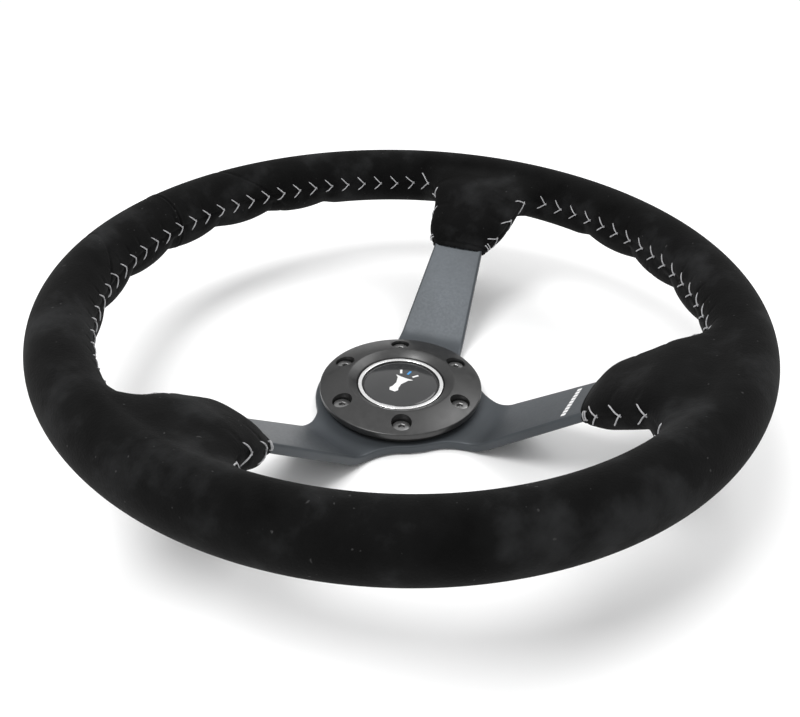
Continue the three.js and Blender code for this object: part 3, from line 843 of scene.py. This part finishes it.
def fillet_centre(angle, side, hub, radius):
    """Centre of the circle that touches the blade's edge and the hub's rim from outside."""
    root, end = blade_edge(angle, side)
    way = (end - root) / np.linalg.norm(end - root)
    out = np.array([-way[1], way[0]]) * side
    base = root + out * radius
    reach = hub + radius
    along = -base @ way + math.sqrt((base @ way) ** 2 - base @ base + reach ** 2)
    centre = base + way * along
    return centre, centre - out * radius


def spoke_outline():
    """The plate's edge seen from the driver, anticlockwise: blade, fillet, hub and fillet."""
    outline = []
    for index, angle in enumerate(SPOKES):
        hub, radius = WINDOWS[index]
        low_end, high_end = blade_edge(angle, -1)[1], blade_edge(angle, 1)[1]
        _, low_touch = fillet_centre(angle, -1, *WINDOWS[index - 1])
        centre, high_touch = fillet_centre(angle, 1, hub, radius)
        outline.extend(line_points(low_touch, low_end))
        outline.extend(line_points(low_end, high_end)[1:-1])
        outline.extend(line_points(high_end, high_touch))
        start = math.atan2(centre[1], centre[0])
        outline.extend(touching_arc(centre, radius, high_touch, start)[1:])
        after = SPOKES[(index + 1) % len(SPOKES)]
        centre, touch = fillet_centre(after, -1, hub, radius)
        end = math.atan2(centre[1], centre[0])
        sweep = (end - start) % (2 * math.pi)
        turns = start + np.linspace(0, 1, max(2, round(sweep * hub / OUTLINE_STEP)) + 1) * sweep
        outline.extend([hub * direction(turn) for turn in turns[1:]])
        outline.extend(touching_arc(centre, radius, touch, end)[::-1][1:-1])
    return np.array(outline)


def touching_arc(centre, radius, touch, hub_angle):
    """A fillet's arc from the blade's edge to the hub's rim."""
    start = math.atan2(*(touch - centre)[::-1])
    return arc_points(centre, radius, start, hub_angle + math.pi, FILLET_STEPS)


def line_points(start, end):
    """Points of a straight line, both ends included."""
    steps = max(2, round(np.linalg.norm(end - start) / OUTLINE_STEP))
    return [start + (end - start) * k / steps for k in range(steps + 1)]


def circle_points(centre, radius, count):
    turns = np.arange(count) * 2 * math.pi / count
    return np.stack([centre[0] + radius * np.cos(turns), centre[1] + radius * np.sin(turns)], 1)


def inward_normals(loop):
    """Unit vectors pointing to the left of a closed loop."""
    way = np.roll(loop, -1, axis=0) - np.roll(loop, 1, axis=0)
    way /= np.linalg.norm(way, axis=1, keepdims=True)
    return np.stack([-way[:, 1], way[:, 0]], axis=1)


def on_plate(plan, offset):
    """Plan points placed on the dished plate, a distance above its middle surface."""
    radius = np.hypot(plan[:, 0], plan[:, 1])
    _, along, _ = nearest_spoke(plan)
    distance = np.where(radius < BEND_START, radius, along)
    height, tilt = dish_line(distance)
    return np.column_stack([plan, height + offset / np.maximum(np.cos(tilt), 0.5)])


def flat_net(points, edges, wanted):
    """Triangles between plan points, kept where the middle passes a test."""
    points = [Vector(point) for point in points]
    result = geometry.delaunay_2d_cdt(points, edges, [], 1, MERGE_LIMIT)
    plan = np.array([list(point) for point in result[0]])
    kept = wanted(np.array([plan[list(face)].mean(0) for face in result[2]]))
    return plan, [list(face) for face, take in zip(result[2], kept) if take]


def face_net(loops):
    """Points and triangles of a flat face inside the first loop and outside the others."""
    edges, start = [], 0
    for loop in loops:
        edges += [(start + k, start + (k + 1) % len(loop)) for k in range(len(loop))]
        start += len(loop)
    steps = np.arange(-GRID_REACH, GRID_REACH + 1, FACE_GRID / MM) * MM
    grid = np.stack(np.meshgrid(steps, steps), axis=-1).reshape(-1, 2)
    grid = grid[inside_loops(grid, loops, FACE_GRID * GRID_CLEAR)]
    points = np.concatenate([*loops, grid])
    return flat_net(points, edges, lambda middles: inside_loops(middles, loops, 0))


def edge_rows(loop):
    """Rings of points that take a loop from the front face over its round edge to the back."""
    normals = inward_normals(loop)
    quarter = np.linspace(0, math.pi / 2, EDGE_STEPS + 1)
    rows = []
    for side, turns in ((1, quarter), (-1, quarter[::-1])):
        for turn in turns:
            inset = EDGE_ROUND * (1 - math.sin(turn))
            height = side * (HALF_PLATE - EDGE_ROUND * (1 - math.cos(turn)))
            rows.append(on_plate(loop + normals * inset, height))
    return rows


def build_plate(material):
    """The dished plate: two faces joined by rounded edges round the outline and every hole."""
    loops = [spoke_outline(), circle_points((0, 0), BORE, BORE_POINTS)[::-1]]
    loops += [circle_points(place, BOLT_HOLE, HOLE_POINTS)[::-1] for place in BOLT_PLACES]
    plan, triangles = face_net([loop + inward_normals(loop) * EDGE_ROUND for loop in loops])
    vertices = [on_plate(plan, HALF_PLATE), on_plate(plan, -HALF_PLATE)]
    faces = triangles + [[len(plan) + index for index in face[::-1]] for face in triangles]
    start = 2 * len(plan)
    for loop in loops:
        rows = edge_rows(loop)
        faces += ring_faces(len(rows), len(loop), start)
        vertices.extend(rows)
        start += len(loop) * len(rows)
    plate = mesh_object("spoke_plate", np.concatenate(vertices), faces)
    clean_mesh(plate)
    sharp = plate.modifiers.new("face_normals", "WEIGHTED_NORMAL")
    sharp.keep_sharp = True
    return finish_piece(plate, material, replaces=["spoke_frame"])


def on_floor(plan):
    """Plan points at height 0."""
    return np.column_stack([plan, np.zeros(len(plan))])


def inside_loops(points, loops, margin):
    """Whether points are inside the first loop, outside the others and clear of all of them."""
    inside = winding(points, loops[0])
    for loop in loops[1:]:
        inside &= ~winding(points, loop)
    if margin:
        inside &= ~near_points(on_floor(np.concatenate(loops)), margin)(on_floor(points))
    return inside


def winding(points, loop):
    """Whether each point lies inside a closed loop."""
    inside = np.zeros(len(points), bool)
    x, y = points[:, 0], points[:, 1]
    for (x0, y0), (x1, y1) in zip(loop, np.roll(loop, -1, axis=0)):
        if y0 == y1:
            continue
        crosses = (y0 > y) != (y1 > y)
        inside ^= crosses & (x < (x1 - x0) * (y - y0) / (y1 - y0) + x0)
    return inside


# ------------------------------------------------------------------ trim ring, screws, horn button

RING_OUTER = 43 * MM
RING_OPENING = 23.4 * MM
RING_EDGE_TOP = 11.6 * MM
RING_CREST = (28.2 * MM, 14.9 * MM)
RING_INNER_TOP = 12.1 * MM
RING_UNDERCUT = (40.5 * MM, 7.6 * MM)
RING_LIP = 0.9 * MM                # rise from the undercut to the ring's outer edge
RING_ROUNDING = 0.6 * MM
RING_BEVEL = 0.35 * MM
COUNTERBORE = 5.15 * MM
COUNTERBORE_FLOOR = 8 * MM
COUNTERSINK, COUNTERSINK_START = 4 * MM, 16 * MM
DRILL_TOP = 20 * MM
SCREW_HOLE = 3 * MM
SCREW_HEAD = 4.6 * MM
SCREW_TOP = 10.9 * MM
HEX_KEY = 3 * MM
HEX_DEPTH = 1.6 * MM
KNURLS = 36
KNURL_DEPTH = 0.13 * MM
SHANK, SHANK_END, SHANK_ROUNDING = 2.5 * MM, 0.25 * MM, 0.3 * MM
NEAR_AXIS = 0.01 * MM
# Radius and height along the screw's head, and down into its hexagonal socket.
HEAD_PROFILE = [
    (SCREW_HEAD - 0.35 * MM, COUNTERBORE_FLOOR),
    (SCREW_HEAD, COUNTERBORE_FLOOR + 0.3 * MM),
    (SCREW_HEAD, SCREW_TOP - 0.7 * MM),
    (SCREW_HEAD - 0.2 * MM, SCREW_TOP - 0.25 * MM),
    (SCREW_HEAD - 0.6 * MM, SCREW_TOP),
]
SOCKET_PROFILE = [
    (HEX_KEY / 2 + 0.25 * MM, SCREW_TOP),
    (HEX_KEY / 2, SCREW_TOP - 0.2 * MM),
    (HEX_KEY / 2, SCREW_TOP - HEX_DEPTH),
    (2 * NEAR_AXIS, SCREW_TOP - HEX_DEPTH - 0.3 * MM),
]
KNURLED_ROWS = (1, 2)
BEZEL_INNER, BEZEL_OUTER = 20.6 * MM, 22.8 * MM
BEZEL_BOTTOM, BEZEL_TOP = 10.5 * MM, 12.1 * MM
BEZEL_ROUNDING = 0.45 * MM
EMBLEM_RADIUS, EMBLEM_BOTTOM, EMBLEM_TOP = 19.8 * MM, 10.5 * MM, 13.0 * MM
EMBLEM_WALL = 0.9 * MM             # height of the dome's edge over the emblem's bottom
EMBLEM_CHAMFER = (0.3 * MM, 0.7 * MM)
SPRING_WIRE = 0.25 * MM
SPRING_TURNS = 3
SPRING_STEPS = 24                  # per turn


def drill(place, profile, segments):
    """A turned cutter that stands at a bolt's place."""
    cutter = lathe("drill", profile, segments)
    cutter.data.transform(Matrix.Translation((*place, 0)))
    return cutter


def build_trim_ring(material):
    """The conical ring, with a counterbore and a hole for each screw."""
    profile = rounded([
        (RING_OPENING, PLATE), (RING_UNDERCUT[0], PLATE), RING_UNDERCUT,
        (RING_OUTER, RING_UNDERCUT[1] + RING_LIP), (RING_OUTER, RING_EDGE_TOP),
        RING_CREST, (RING_OPENING, RING_INNER_TOP),
    ], RING_ROUNDING)
    ring = lathe("cone_ring", profile, 240)
    counterbore = [
        (0, COUNTERBORE_FLOOR), (COUNTERBORE, COUNTERBORE_FLOOR), (COUNTERBORE, COUNTERSINK_START),
        (COUNTERBORE + COUNTERSINK, DRILL_TOP), (0, DRILL_TOP),
    ]
    hole_top = COUNTERBORE_FLOOR + 1 * MM
    hole = [(0, 0), (SCREW_HOLE, 0), (SCREW_HOLE, hole_top), (0, hole_top)]
    drills = [drill(place, counterbore, 64) for place in BOLT_PLACES]
    drills += [drill(place, hole, 32) for place in BOLT_PLACES]
    cut(ring, drills)
    bevel = ring.modifiers.new("edge_rounding", "BEVEL")
    bevel.width = RING_BEVEL
    bevel.segments = 2
    bevel.limit_method = "ANGLE"
    bevel.angle_limit = math.radians(50)
    smooth_by_angle(ring, 40)
    return finish_piece(ring, material, replaces=["trim_ring"])


def cut(obj, drills):
    """Cuts the drills out of an object and removes them."""
    for drill in drills:
        hole = obj.modifiers.new("hole", "BOOLEAN")
        hole.operation = "DIFFERENCE"
        hole.solver = "EXACT"
        hole.object = drill
    bpy.context.view_layer.update()
    graph = bpy.context.evaluated_depsgraph_get()
    made = bpy.data.meshes.new_from_object(obj.evaluated_get(graph))
    obj.modifiers.clear()
    old, obj.data = obj.data, made
    bpy.data.meshes.remove(old)
    for drill in drills:
        bpy.data.meshes.remove(drill.data)


def smooth_by_angle(obj, degrees):
    """Marks sharp edges so that flat faces stay flat and curved ones look round."""
    with net_of(obj) as net:
        for face in net.faces:
            face.smooth = True
        for edge in net.edges:
            if len(edge.link_faces) == 2:
                edge.smooth = edge.calc_face_angle(0) < math.radians(degrees)


def head_ring(number, radius, turns):
    """Radius at each step round one ring of the head: knurled, round or hexagonal."""
    steps = np.arange(turns)
    if number in KNURLED_ROWS:
        return radius - KNURL_DEPTH * (steps % 6 < 2)
    if number < len(HEAD_PROFILE):
        return np.full(turns, radius)
    sector = (2 * math.pi * steps / turns + math.pi / 6) % (math.pi / 3) - math.pi / 6
    return radius / np.cos(sector)


def build_screw(index, place, material):
    """A socket cap screw: knurled head with a hexagonal socket, and its shank."""
    turns = 6 * KNURLS
    angle = 2 * math.pi * np.arange(turns) / turns
    rows = HEAD_PROFILE + SOCKET_PROFILE
    vertices = []
    for number, (radius, height) in enumerate(rows):
        reach = head_ring(number, radius, turns)
        vertices += np.column_stack([
            place[0] + reach * np.cos(angle),
            place[1] + reach * np.sin(angle),
            np.full(turns, height),
        ]).tolist()
    faces = ring_faces(len(rows), turns)
    faces.append(list(range(turns)))
    shank = lathe("shank", rounded([
        (NEAR_AXIS, SHANK_END), (SHANK, SHANK_END),
        (SHANK, COUNTERBORE_FLOOR), (NEAR_AXIS, COUNTERBORE_FLOOR),
    ], SHANK_ROUNDING, 1), 32)
    shank_points = (coordinates(shank) + (*place, 0)).tolist()
    shank_faces = [list(face.vertices) for face in shank.data.polygons]
    bpy.data.meshes.remove(shank.data)
    parts = merged([(vertices, faces), (shank_points, shank_faces)])
    screw = mesh_object(f"socket_screw_{index + 1}", *parts)
    clean_mesh(screw)
    smooth_by_angle(screw, 35)
    return finish_piece(screw, material,
                        replaces=[f"mounting_screw_{index + 1}"])


def build_springs(material):
    """Three coil springs under the horn button, each a fixed helix that fills its CAD spring's box.
    """
    shares = np.linspace(0, 1, SPRING_STEPS * SPRING_TURNS + 1)
    turns = 2 * math.pi * SPRING_TURNS * shares
    for number in (1, 2, 3):
        low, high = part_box(f"horn_spring_{number}")
        middle = (low + high) / 2
        radius = (high.x - low.x) / 2 - SPRING_WIRE
        path = np.column_stack([
            middle.x + radius * np.cos(turns),
            middle.y + radius * np.sin(turns),
            low.z + SPRING_WIRE + shares * (high.z - low.z - 2 * SPRING_WIRE),
        ])
        spring = mesh_object(f"coil_spring_{number}", *tube(path, SPRING_WIRE, 10))
        finish_piece(spring, material,
                     replaces=[f"horn_spring_{number}"])
        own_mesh(spring)


def build_bezel(material):
    profile = rounded([
        (BEZEL_INNER, BEZEL_BOTTOM), (BEZEL_OUTER, BEZEL_BOTTOM),
        (BEZEL_OUTER, BEZEL_TOP), (BEZEL_INNER, BEZEL_TOP),
    ], BEZEL_ROUNDING, 4)
    return finish_piece(lathe("chrome_bezel", profile, 160), material, "horn_button",
                        ["horn_bezel"])


def emblem_height(radius):
    """Height of the emblem's domed face at a radius."""
    share = np.clip(np.asarray(radius) / EMBLEM_RADIUS, 0, 1)
    dome = EMBLEM_TOP - EMBLEM_BOTTOM - EMBLEM_WALL
    return EMBLEM_BOTTOM + EMBLEM_WALL + dome * (1 - share ** 2)


def build_emblem(material):
    """The domed disc in the middle of the horn button."""
    inset, side = EMBLEM_CHAMFER
    radii = np.linspace(0, EMBLEM_RADIUS - inset, 24)
    profile = [
        (0, EMBLEM_BOTTOM),
        (EMBLEM_RADIUS, EMBLEM_BOTTOM),
        (EMBLEM_RADIUS, EMBLEM_BOTTOM + side),
    ]
    profile += [(radius, float(emblem_height(radius))) for radius in radii[::-1]]
    emblem = lathe("domed_emblem", profile, 160)
    smooth_by_angle(emblem, 50)
    return finish_piece(emblem, material, "horn_button", ["horn_emblem"])


# Outline of the horn pictogram's body, in mm: bulb, tube and bell. Its strokes lie on rays.
HORN_BODY = [
    (-9.2, -1.6), (-7.4, -2.6), (-5.8, -1.8), (-2.2, -1.5), (2.4, -3.2), (4.2, -5.2),
    (4.2, 5.2), (2.4, 3.2), (-2.2, 1.5), (-5.8, 1.8), (-7.4, 2.6), (-9.2, 1.6),
]
STROKE_ANGLES = [math.radians(angle) for angle in (-28, 0, 28)]
STROKE_START, STROKE_END, STROKE_HALF = 7.4, 11.2, 0.6
INLAY_GRID = np.arange(-16, 17, 1.5) * MM


def inlay(name, outlines, material, lift=0.05 * MM):
    """Flat shapes laid on the emblem's dome, from their plan outlines."""
    grid = np.array([(x, y) for x in INLAY_GRID for y in INLAY_GRID])
    parts = []
    for outline in outlines:
        border = [(k, (k + 1) % len(outline)) for k in range(len(outline))]
        points = np.concatenate([outline, grid[winding(grid, outline)]])
        plan, faces = flat_net(points, border, lambda middles: winding(middles, outline))
        height = emblem_height(np.hypot(plan[:, 0], plan[:, 1])) + lift
        parts.append((np.column_stack([plan, height]).tolist(), faces))
    vertices, faces = merged(parts)
    return finish_piece(mesh_object(name, vertices, faces), material, "horn_button")


def trumpet_outlines():
    """A plain horn pictogram: its body, and three sound strokes in front of the bell."""
    shapes = [HORN_BODY]
    for angle in STROKE_ANGLES:
        lengthwise, sideways = spoke_axes(angle)
        side = sideways * STROKE_HALF
        near, far = lengthwise * STROKE_START, lengthwise * STROKE_END
        shapes.append([near - side, far - side, far + side, near + side])
    return [np.array(shape) * MM for shape in shapes]


# ------------------------------------------------------------------ materials


def shader(name, colour, metallic=0.0, roughness=0.5):
    """A new material with its colour, metal share and roughness on the shader's sockets."""
    material = bpy.data.materials.new(name)
    material.use_nodes = True
    socket = material.node_tree.nodes["Principled BSDF"].inputs
    socket["Base Color"].default_value = (*colour, 1)
    socket["Metallic"].default_value = metallic
    socket["Roughness"].default_value = roughness
    return material


def noise(material, scale, detail=4.0, stretch=(1, 1, 1), roughness=0.55):
    """Noise in the object's own coordinates, in cycles per metre."""
    tree = material.node_tree
    place = tree.nodes.new("ShaderNodeTexCoord")
    mapping = tree.nodes.new("ShaderNodeMapping")
    mapping.inputs["Scale"].default_value = stretch
    texture = tree.nodes.new("ShaderNodeTexNoise")
    texture.inputs["Scale"].default_value = scale
    texture.inputs["Detail"].default_value = detail
    texture.inputs["Roughness"].default_value = roughness
    tree.links.new(place.outputs["Object"], mapping.inputs["Vector"])
    tree.links.new(mapping.outputs["Vector"], texture.inputs["Vector"])
    return texture


def ramp(material, source, stops):
    """Turns a texture's value into colours, from (position, colour) pairs."""
    node = material.node_tree.nodes.new("ShaderNodeValToRGB")
    band = node.color_ramp.elements
    while len(band) < len(stops):
        band.new(0.5)
    for element, (position, colour) in zip(band, stops):
        element.position = position
        element.color = (*colour, 1)
    material.node_tree.links.new(source, node.inputs["Fac"])
    return node.outputs["Color"]


def link(material, source, name):
    socket = material.node_tree.nodes["Principled BSDF"].inputs[name]
    material.node_tree.links.new(source, socket)


def bump(material, source, distance, strength=1.0, below=None):
    node = material.node_tree.nodes.new("ShaderNodeBump")
    node.inputs["Distance"].default_value = distance
    node.inputs["Strength"].default_value = strength
    material.node_tree.links.new(source, node.inputs["Height"])
    if below:
        material.node_tree.links.new(below, node.inputs["Normal"])
    return node.outputs["Normal"]


def grey(value, tint=(1.0, 1.0, 1.0)):
    return tuple(value * part for part in tint)


def mixed(material, first, second, fac):
    """One colour over another where fac is 1."""
    node = material.node_tree.nodes.new("ShaderNodeMix")
    node.data_type = "RGBA"
    links = material.node_tree.links
    links.new(fac, node.inputs["Factor"])
    links.new(first, node.inputs["A"])
    links.new(second, node.inputs["B"])
    return node.outputs["Result"]


def handled(name, colour, metallic, roughness, scale=260):
    """A plain finish whose colour and shine vary a little, as on a part that is handled."""
    material = shader(name, colour, metallic, roughness)
    cloud = noise(material, scale, 5).outputs["Fac"]
    link(material, ramp(material, cloud, [
        (0.35, grey(0.88 * roughness)), (0.65, grey(1.2 * roughness))]), "Roughness")
    link(material, ramp(material, cloud, [
        (0.35, tuple(0.93 * part for part in colour)), (0.6, colour)]), "Base Color")
    return material


def suede_material():
    material = shader("suede", grey(0.008), 0.0, 0.95)
    socket = material.node_tree.nodes["Principled BSDF"].inputs
    socket["Specular IOR Level"].default_value = 0.06
    socket["Sheen Weight"].default_value = 0.028
    socket["Sheen Roughness"].default_value = 0.5
    patches = noise(material, 34, 6)
    nap = ramp(material, patches.outputs["Fac"], [
        (0.32, grey(0.0020)), (0.50, grey(0.0042, (1, 1.01, 1.02))),
        (0.68, grey(0.0150, (1, 1.02, 1.05))),
    ])
    grain = noise(material, 900, 3)
    flecks = ramp(material, noise(material, 520, 0).outputs["Fac"],
                  [(0.83, (0, 0, 0)), (0.87, (1, 1, 1))])
    lint = ramp(material, grain.outputs["Fac"], [(0.2, grey(0.015)), (0.9, grey(0.05))])
    link(material, mixed(material, nap, lint, flecks), "Base Color")
    fine = bump(material, grain.outputs["Fac"], 0.25 * MM, 0.7)
    soft = bump(material, noise(material, 150, 4).outputs["Fac"], 0.5 * MM, 0.4, fine)
    link(material, soft, "Normal")
    return material


def brushed_black():
    material = shader("black_anodised", grey(0.010), 0.35, 0.42)
    material.node_tree.nodes["Principled BSDF"].inputs["Specular IOR Level"].default_value = 0.35
    streaks = noise(material, 700, 4)
    shine = ramp(material, streaks.outputs["Fac"], [(0.35, grey(0.41)), (0.65, grey(0.46))])
    link(material, shine, "Roughness")
    cloud = noise(material, 22, 5)
    colour = ramp(material, cloud.outputs["Fac"], [
        (0.3, grey(0.048, (0.97, 1.09, 1.2))), (0.7, grey(0.068, (0.97, 1.09, 1.22))),
    ])
    link(material, colour, "Base Color")
    link(material, bump(material, streaks.outputs["Fac"], 0.04 * MM, 0.25), "Normal")
    return material


def satin_metal(name, value, roughness, metallic=0.8):
    material = handled(name, grey(value), metallic, roughness)
    speckle = noise(material, 1500, 2)
    link(material, bump(material, speckle.outputs["Fac"], 0.02 * MM, 0.3), "Normal")
    return material


def thread_material():
    material = shader("seam_thread", grey(0.36, (1, 1, 1.03)), 0.0, 0.55)
    socket = material.node_tree.nodes["Principled BSDF"].inputs
    socket["Sheen Weight"].default_value = 0.3
    twist = noise(material, 1400, 2)
    link(material, ramp(material, twist.outputs["Fac"], [
        (0.3, grey(0.22, (1, 1, 1.03))), (0.65, grey(0.46, (1, 1, 1.03)))]), "Base Color")
    link(material, bump(material, twist.outputs["Fac"], 0.12 * MM, 0.6), "Normal")
    return material


def foam_material():
    material = shader("foam", grey(0.02), 0.0, 0.95)
    link(material, bump(material, noise(material, 1200, 2).outputs["Fac"], 0.3 * MM, 0.8), "Normal")
    return material


def paint_cad_nodes(spring_steel):
    """Materials for the CAD pieces that keep their own shape."""
    rivets = [f"rim_rivet_{number}" for number in range(1, 7)]
    contacts = ["contact_ring", "moving_contact", "contact_rivet", "ground_rivet",
                "live_terminal", "ground_terminal"]
    alloy = satin_metal("bare_alloy", 0.55, 0.38, 1.0)
    plastic = handled("moulded_plastic", grey(0.012), 0.0, 0.45, 900)
    brass = handled("brass", (0.60, 0.42, 0.16), 1.0, 0.3)
    for names, material in (
        (["rim_hoop", *rivets], alloy),
        (["horn_housing", "horn_cap"], plastic),
        (contacts, brass),
        (["push_nut"], spring_steel),
    ):
        for name in names:
            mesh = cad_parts[name].data
            mesh.materials.clear()
            mesh.materials.append(material)
            for face in mesh.polygons:
                face.material_index = 0


# ------------------------------------------------------------------ white stripe on the lower spoke

STRIPE_PLACE = 92 * MM
STRIPE_HALF_WIDTH = 12.5 * MM
STRIPE_HALF_LENGTH = 1.0 * MM
STRIPE_DASHES = 9
DASH_SHARE = 0.8                   # of a dash and the gap after it


def build_stripe(material):
    """A plain painted row of dashes across the lowest spoke, just short of its sleeve."""
    lengthwise, sideways = spoke_axes(SPOKES[2])
    pitch = 2 * STRIPE_HALF_WIDTH / STRIPE_DASHES
    parts = []
    for dash in range(STRIPE_DASHES):
        start = -STRIPE_HALF_WIDTH + dash * pitch
        plan = np.array([
            lengthwise * (STRIPE_PLACE + along) + sideways * across
            for across in (start, start + DASH_SHARE * pitch)
            for along in (-STRIPE_HALF_LENGTH, STRIPE_HALF_LENGTH)
        ])
        parts.append((on_plate(plan, HALF_PLATE + 0.04 * MM).tolist(), [[0, 1, 3, 2]]))
    vertices, faces = merged(parts)
    return finish_piece(mesh_object("painted_stripe", vertices, faces), material)


# ------------------------------------------------------------------ floor, lights and camera

FLOOR_SIZE = 6.0                   # half its side, in metres
CAMERA_TURN = math.radians(61.4)
CAMERA_RISE = math.radians(36.05)
CAMERA_ROLL = math.radians(1.485)
CAMERA_DISTANCE = 433.3 * MM
CAMERA_TARGET = Vector((0, 0, 13.4 * MM))
CAMERA_LENS = 36.68
CAMERA_SENSOR = 36.0
CAMERA_DROP = 0.02706              # the target shows this far below the middle, per unit of depth
CAMERA_SHIFT = 0.00099
FLOOR_GAP = 0.4 * MM               # between the floor and the boss's back face
SKY_STRENGTH = 0.86
# Place seen from the camera's side, diameter and power of each light.
KEY_LIGHT = ((-0.46, -0.32, 1.2), 0.6, 9.5)
FILL_LIGHT = ((0.7, 0.6, 1.2), 0.9, 7)
LIGHT_TARGET = Vector((0, 0, 0.04))


def build_camera():
    """The camera: low over the wheel, with the six o'clock spoke towards the lower right."""
    rise, roll = CAMERA_RISE, CAMERA_ROLL
    back = Vector((0, -math.cos(rise), math.sin(rise)))
    right = Vector((1, 0, 0))
    up = Vector((0, math.sin(rise), math.cos(rise)))
    level = math.cos(roll) * right + math.sin(roll) * up
    lift = -math.sin(roll) * right + math.cos(roll) * up
    axes = Matrix((level, lift, back)).transposed()
    aim = Vector((CAMERA_SHIFT, -CAMERA_DROP, -1)).normalized()
    swing = Vector((0, 0, -1)).rotation_difference(aim).inverted()
    turn = Matrix.Rotation(-CAMERA_TURN, 3, "Z")
    rotation = turn @ axes @ swing.to_matrix()
    data = bpy.data.cameras.new("camera")
    data.lens = CAMERA_LENS
    data.sensor_width = CAMERA_SENSOR
    camera = bpy.data.objects.new("camera", data)
    camera.matrix_world = Matrix.LocRotScale(
        turn @ back * CAMERA_DISTANCE + CAMERA_TARGET, rotation.to_quaternion(), None)
    bpy.context.collection.objects.link(camera)
    bpy.context.scene.camera = camera
    return camera


def add_light(name, place, size, power):
    """A round soft light, placed from the camera's side and aimed at the wheel."""
    data = bpy.data.lights.new(name, "AREA")
    data.shape = "DISK"
    data.size = size
    data.energy = power
    light = bpy.data.objects.new(name, data)
    light.location = Matrix.Rotation(-CAMERA_TURN, 4, "Z") @ Vector(place)
    aim = LIGHT_TARGET - light.location
    light.rotation_euler = aim.to_track_quat("-Z", "Y").to_euler()
    bpy.context.collection.objects.link(light)
    return light


def build_stage():
    """A pale floor, a white surround and two soft lights."""
    corners = [(-1, -1), (1, -1), (1, 1), (-1, 1)]
    floor = mesh_object("floor", [
        (FLOOR_SIZE * x, FLOOR_SIZE * y, 0) for x, y in corners], [[0, 1, 2, 3]], smooth=False)
    floor.location.z = -FLOOR_GAP
    floor.data.materials.append(shader("paper", grey(0.92), 0.0, 0.9))
    world = bpy.data.worlds.new("surround")
    world.use_nodes = True
    background = world.node_tree.nodes["Background"].inputs
    background["Color"].default_value = (1, 1, 1, 1)
    background["Strength"].default_value = SKY_STRENGTH
    bpy.context.scene.world = world
    bpy.context.scene.view_settings.view_transform = "Standard"
    add_light("key", *KEY_LIGHT)
    add_light("fill", *FILL_LIGHT)


# ------------------------------------------------------------------ the whole wheel


def build_wheel():
    """Every piece with its material."""
    seams = []
    for centre in WINDOW_CENTRES:
        line = seam_curve(centre)
        seams.append((line, front_vectors(line), stitch_places(line)))
    thread = thread_material()
    build_cover(seams, suede_material())
    build_foam(foam_material())
    build_stitches(seams, thread)
    build_knots(seams, thread)
    build_plate(brushed_black())
    build_trim_ring(satin_metal("satin_black", 0.060, 0.33, 0.7))
    steel = satin_metal("black_oxide", 0.22, 0.34)
    for index, place in enumerate(BOLT_PLACES):
        build_screw(index, place, steel)
    build_bezel(handled("chrome", grey(0.92), 1.0, 0.22))
    build_emblem(handled("gloss_black", grey(0.036, (1, 1.02, 1.05)), 0.0, 0.08, 90))
    white = handled("white_print", grey(0.75), 0.0, 0.4, 900)
    body, *strokes = trumpet_outlines()
    inlay("horn_pictogram", [body, strokes[0], strokes[2]], white)
    inlay("horn_pictogram_accent", [strokes[1]],
          handled("blue_print", (0.05, 0.28, 0.62), 0.0, 0.4, 900))
    build_stripe(white)
    spring_steel = handled("spring_steel", grey(0.45), 1.0, 0.28)
    build_springs(spring_steel)
    paint_cad_nodes(spring_steel)


build_wheel()
build_stage()
build_camera()
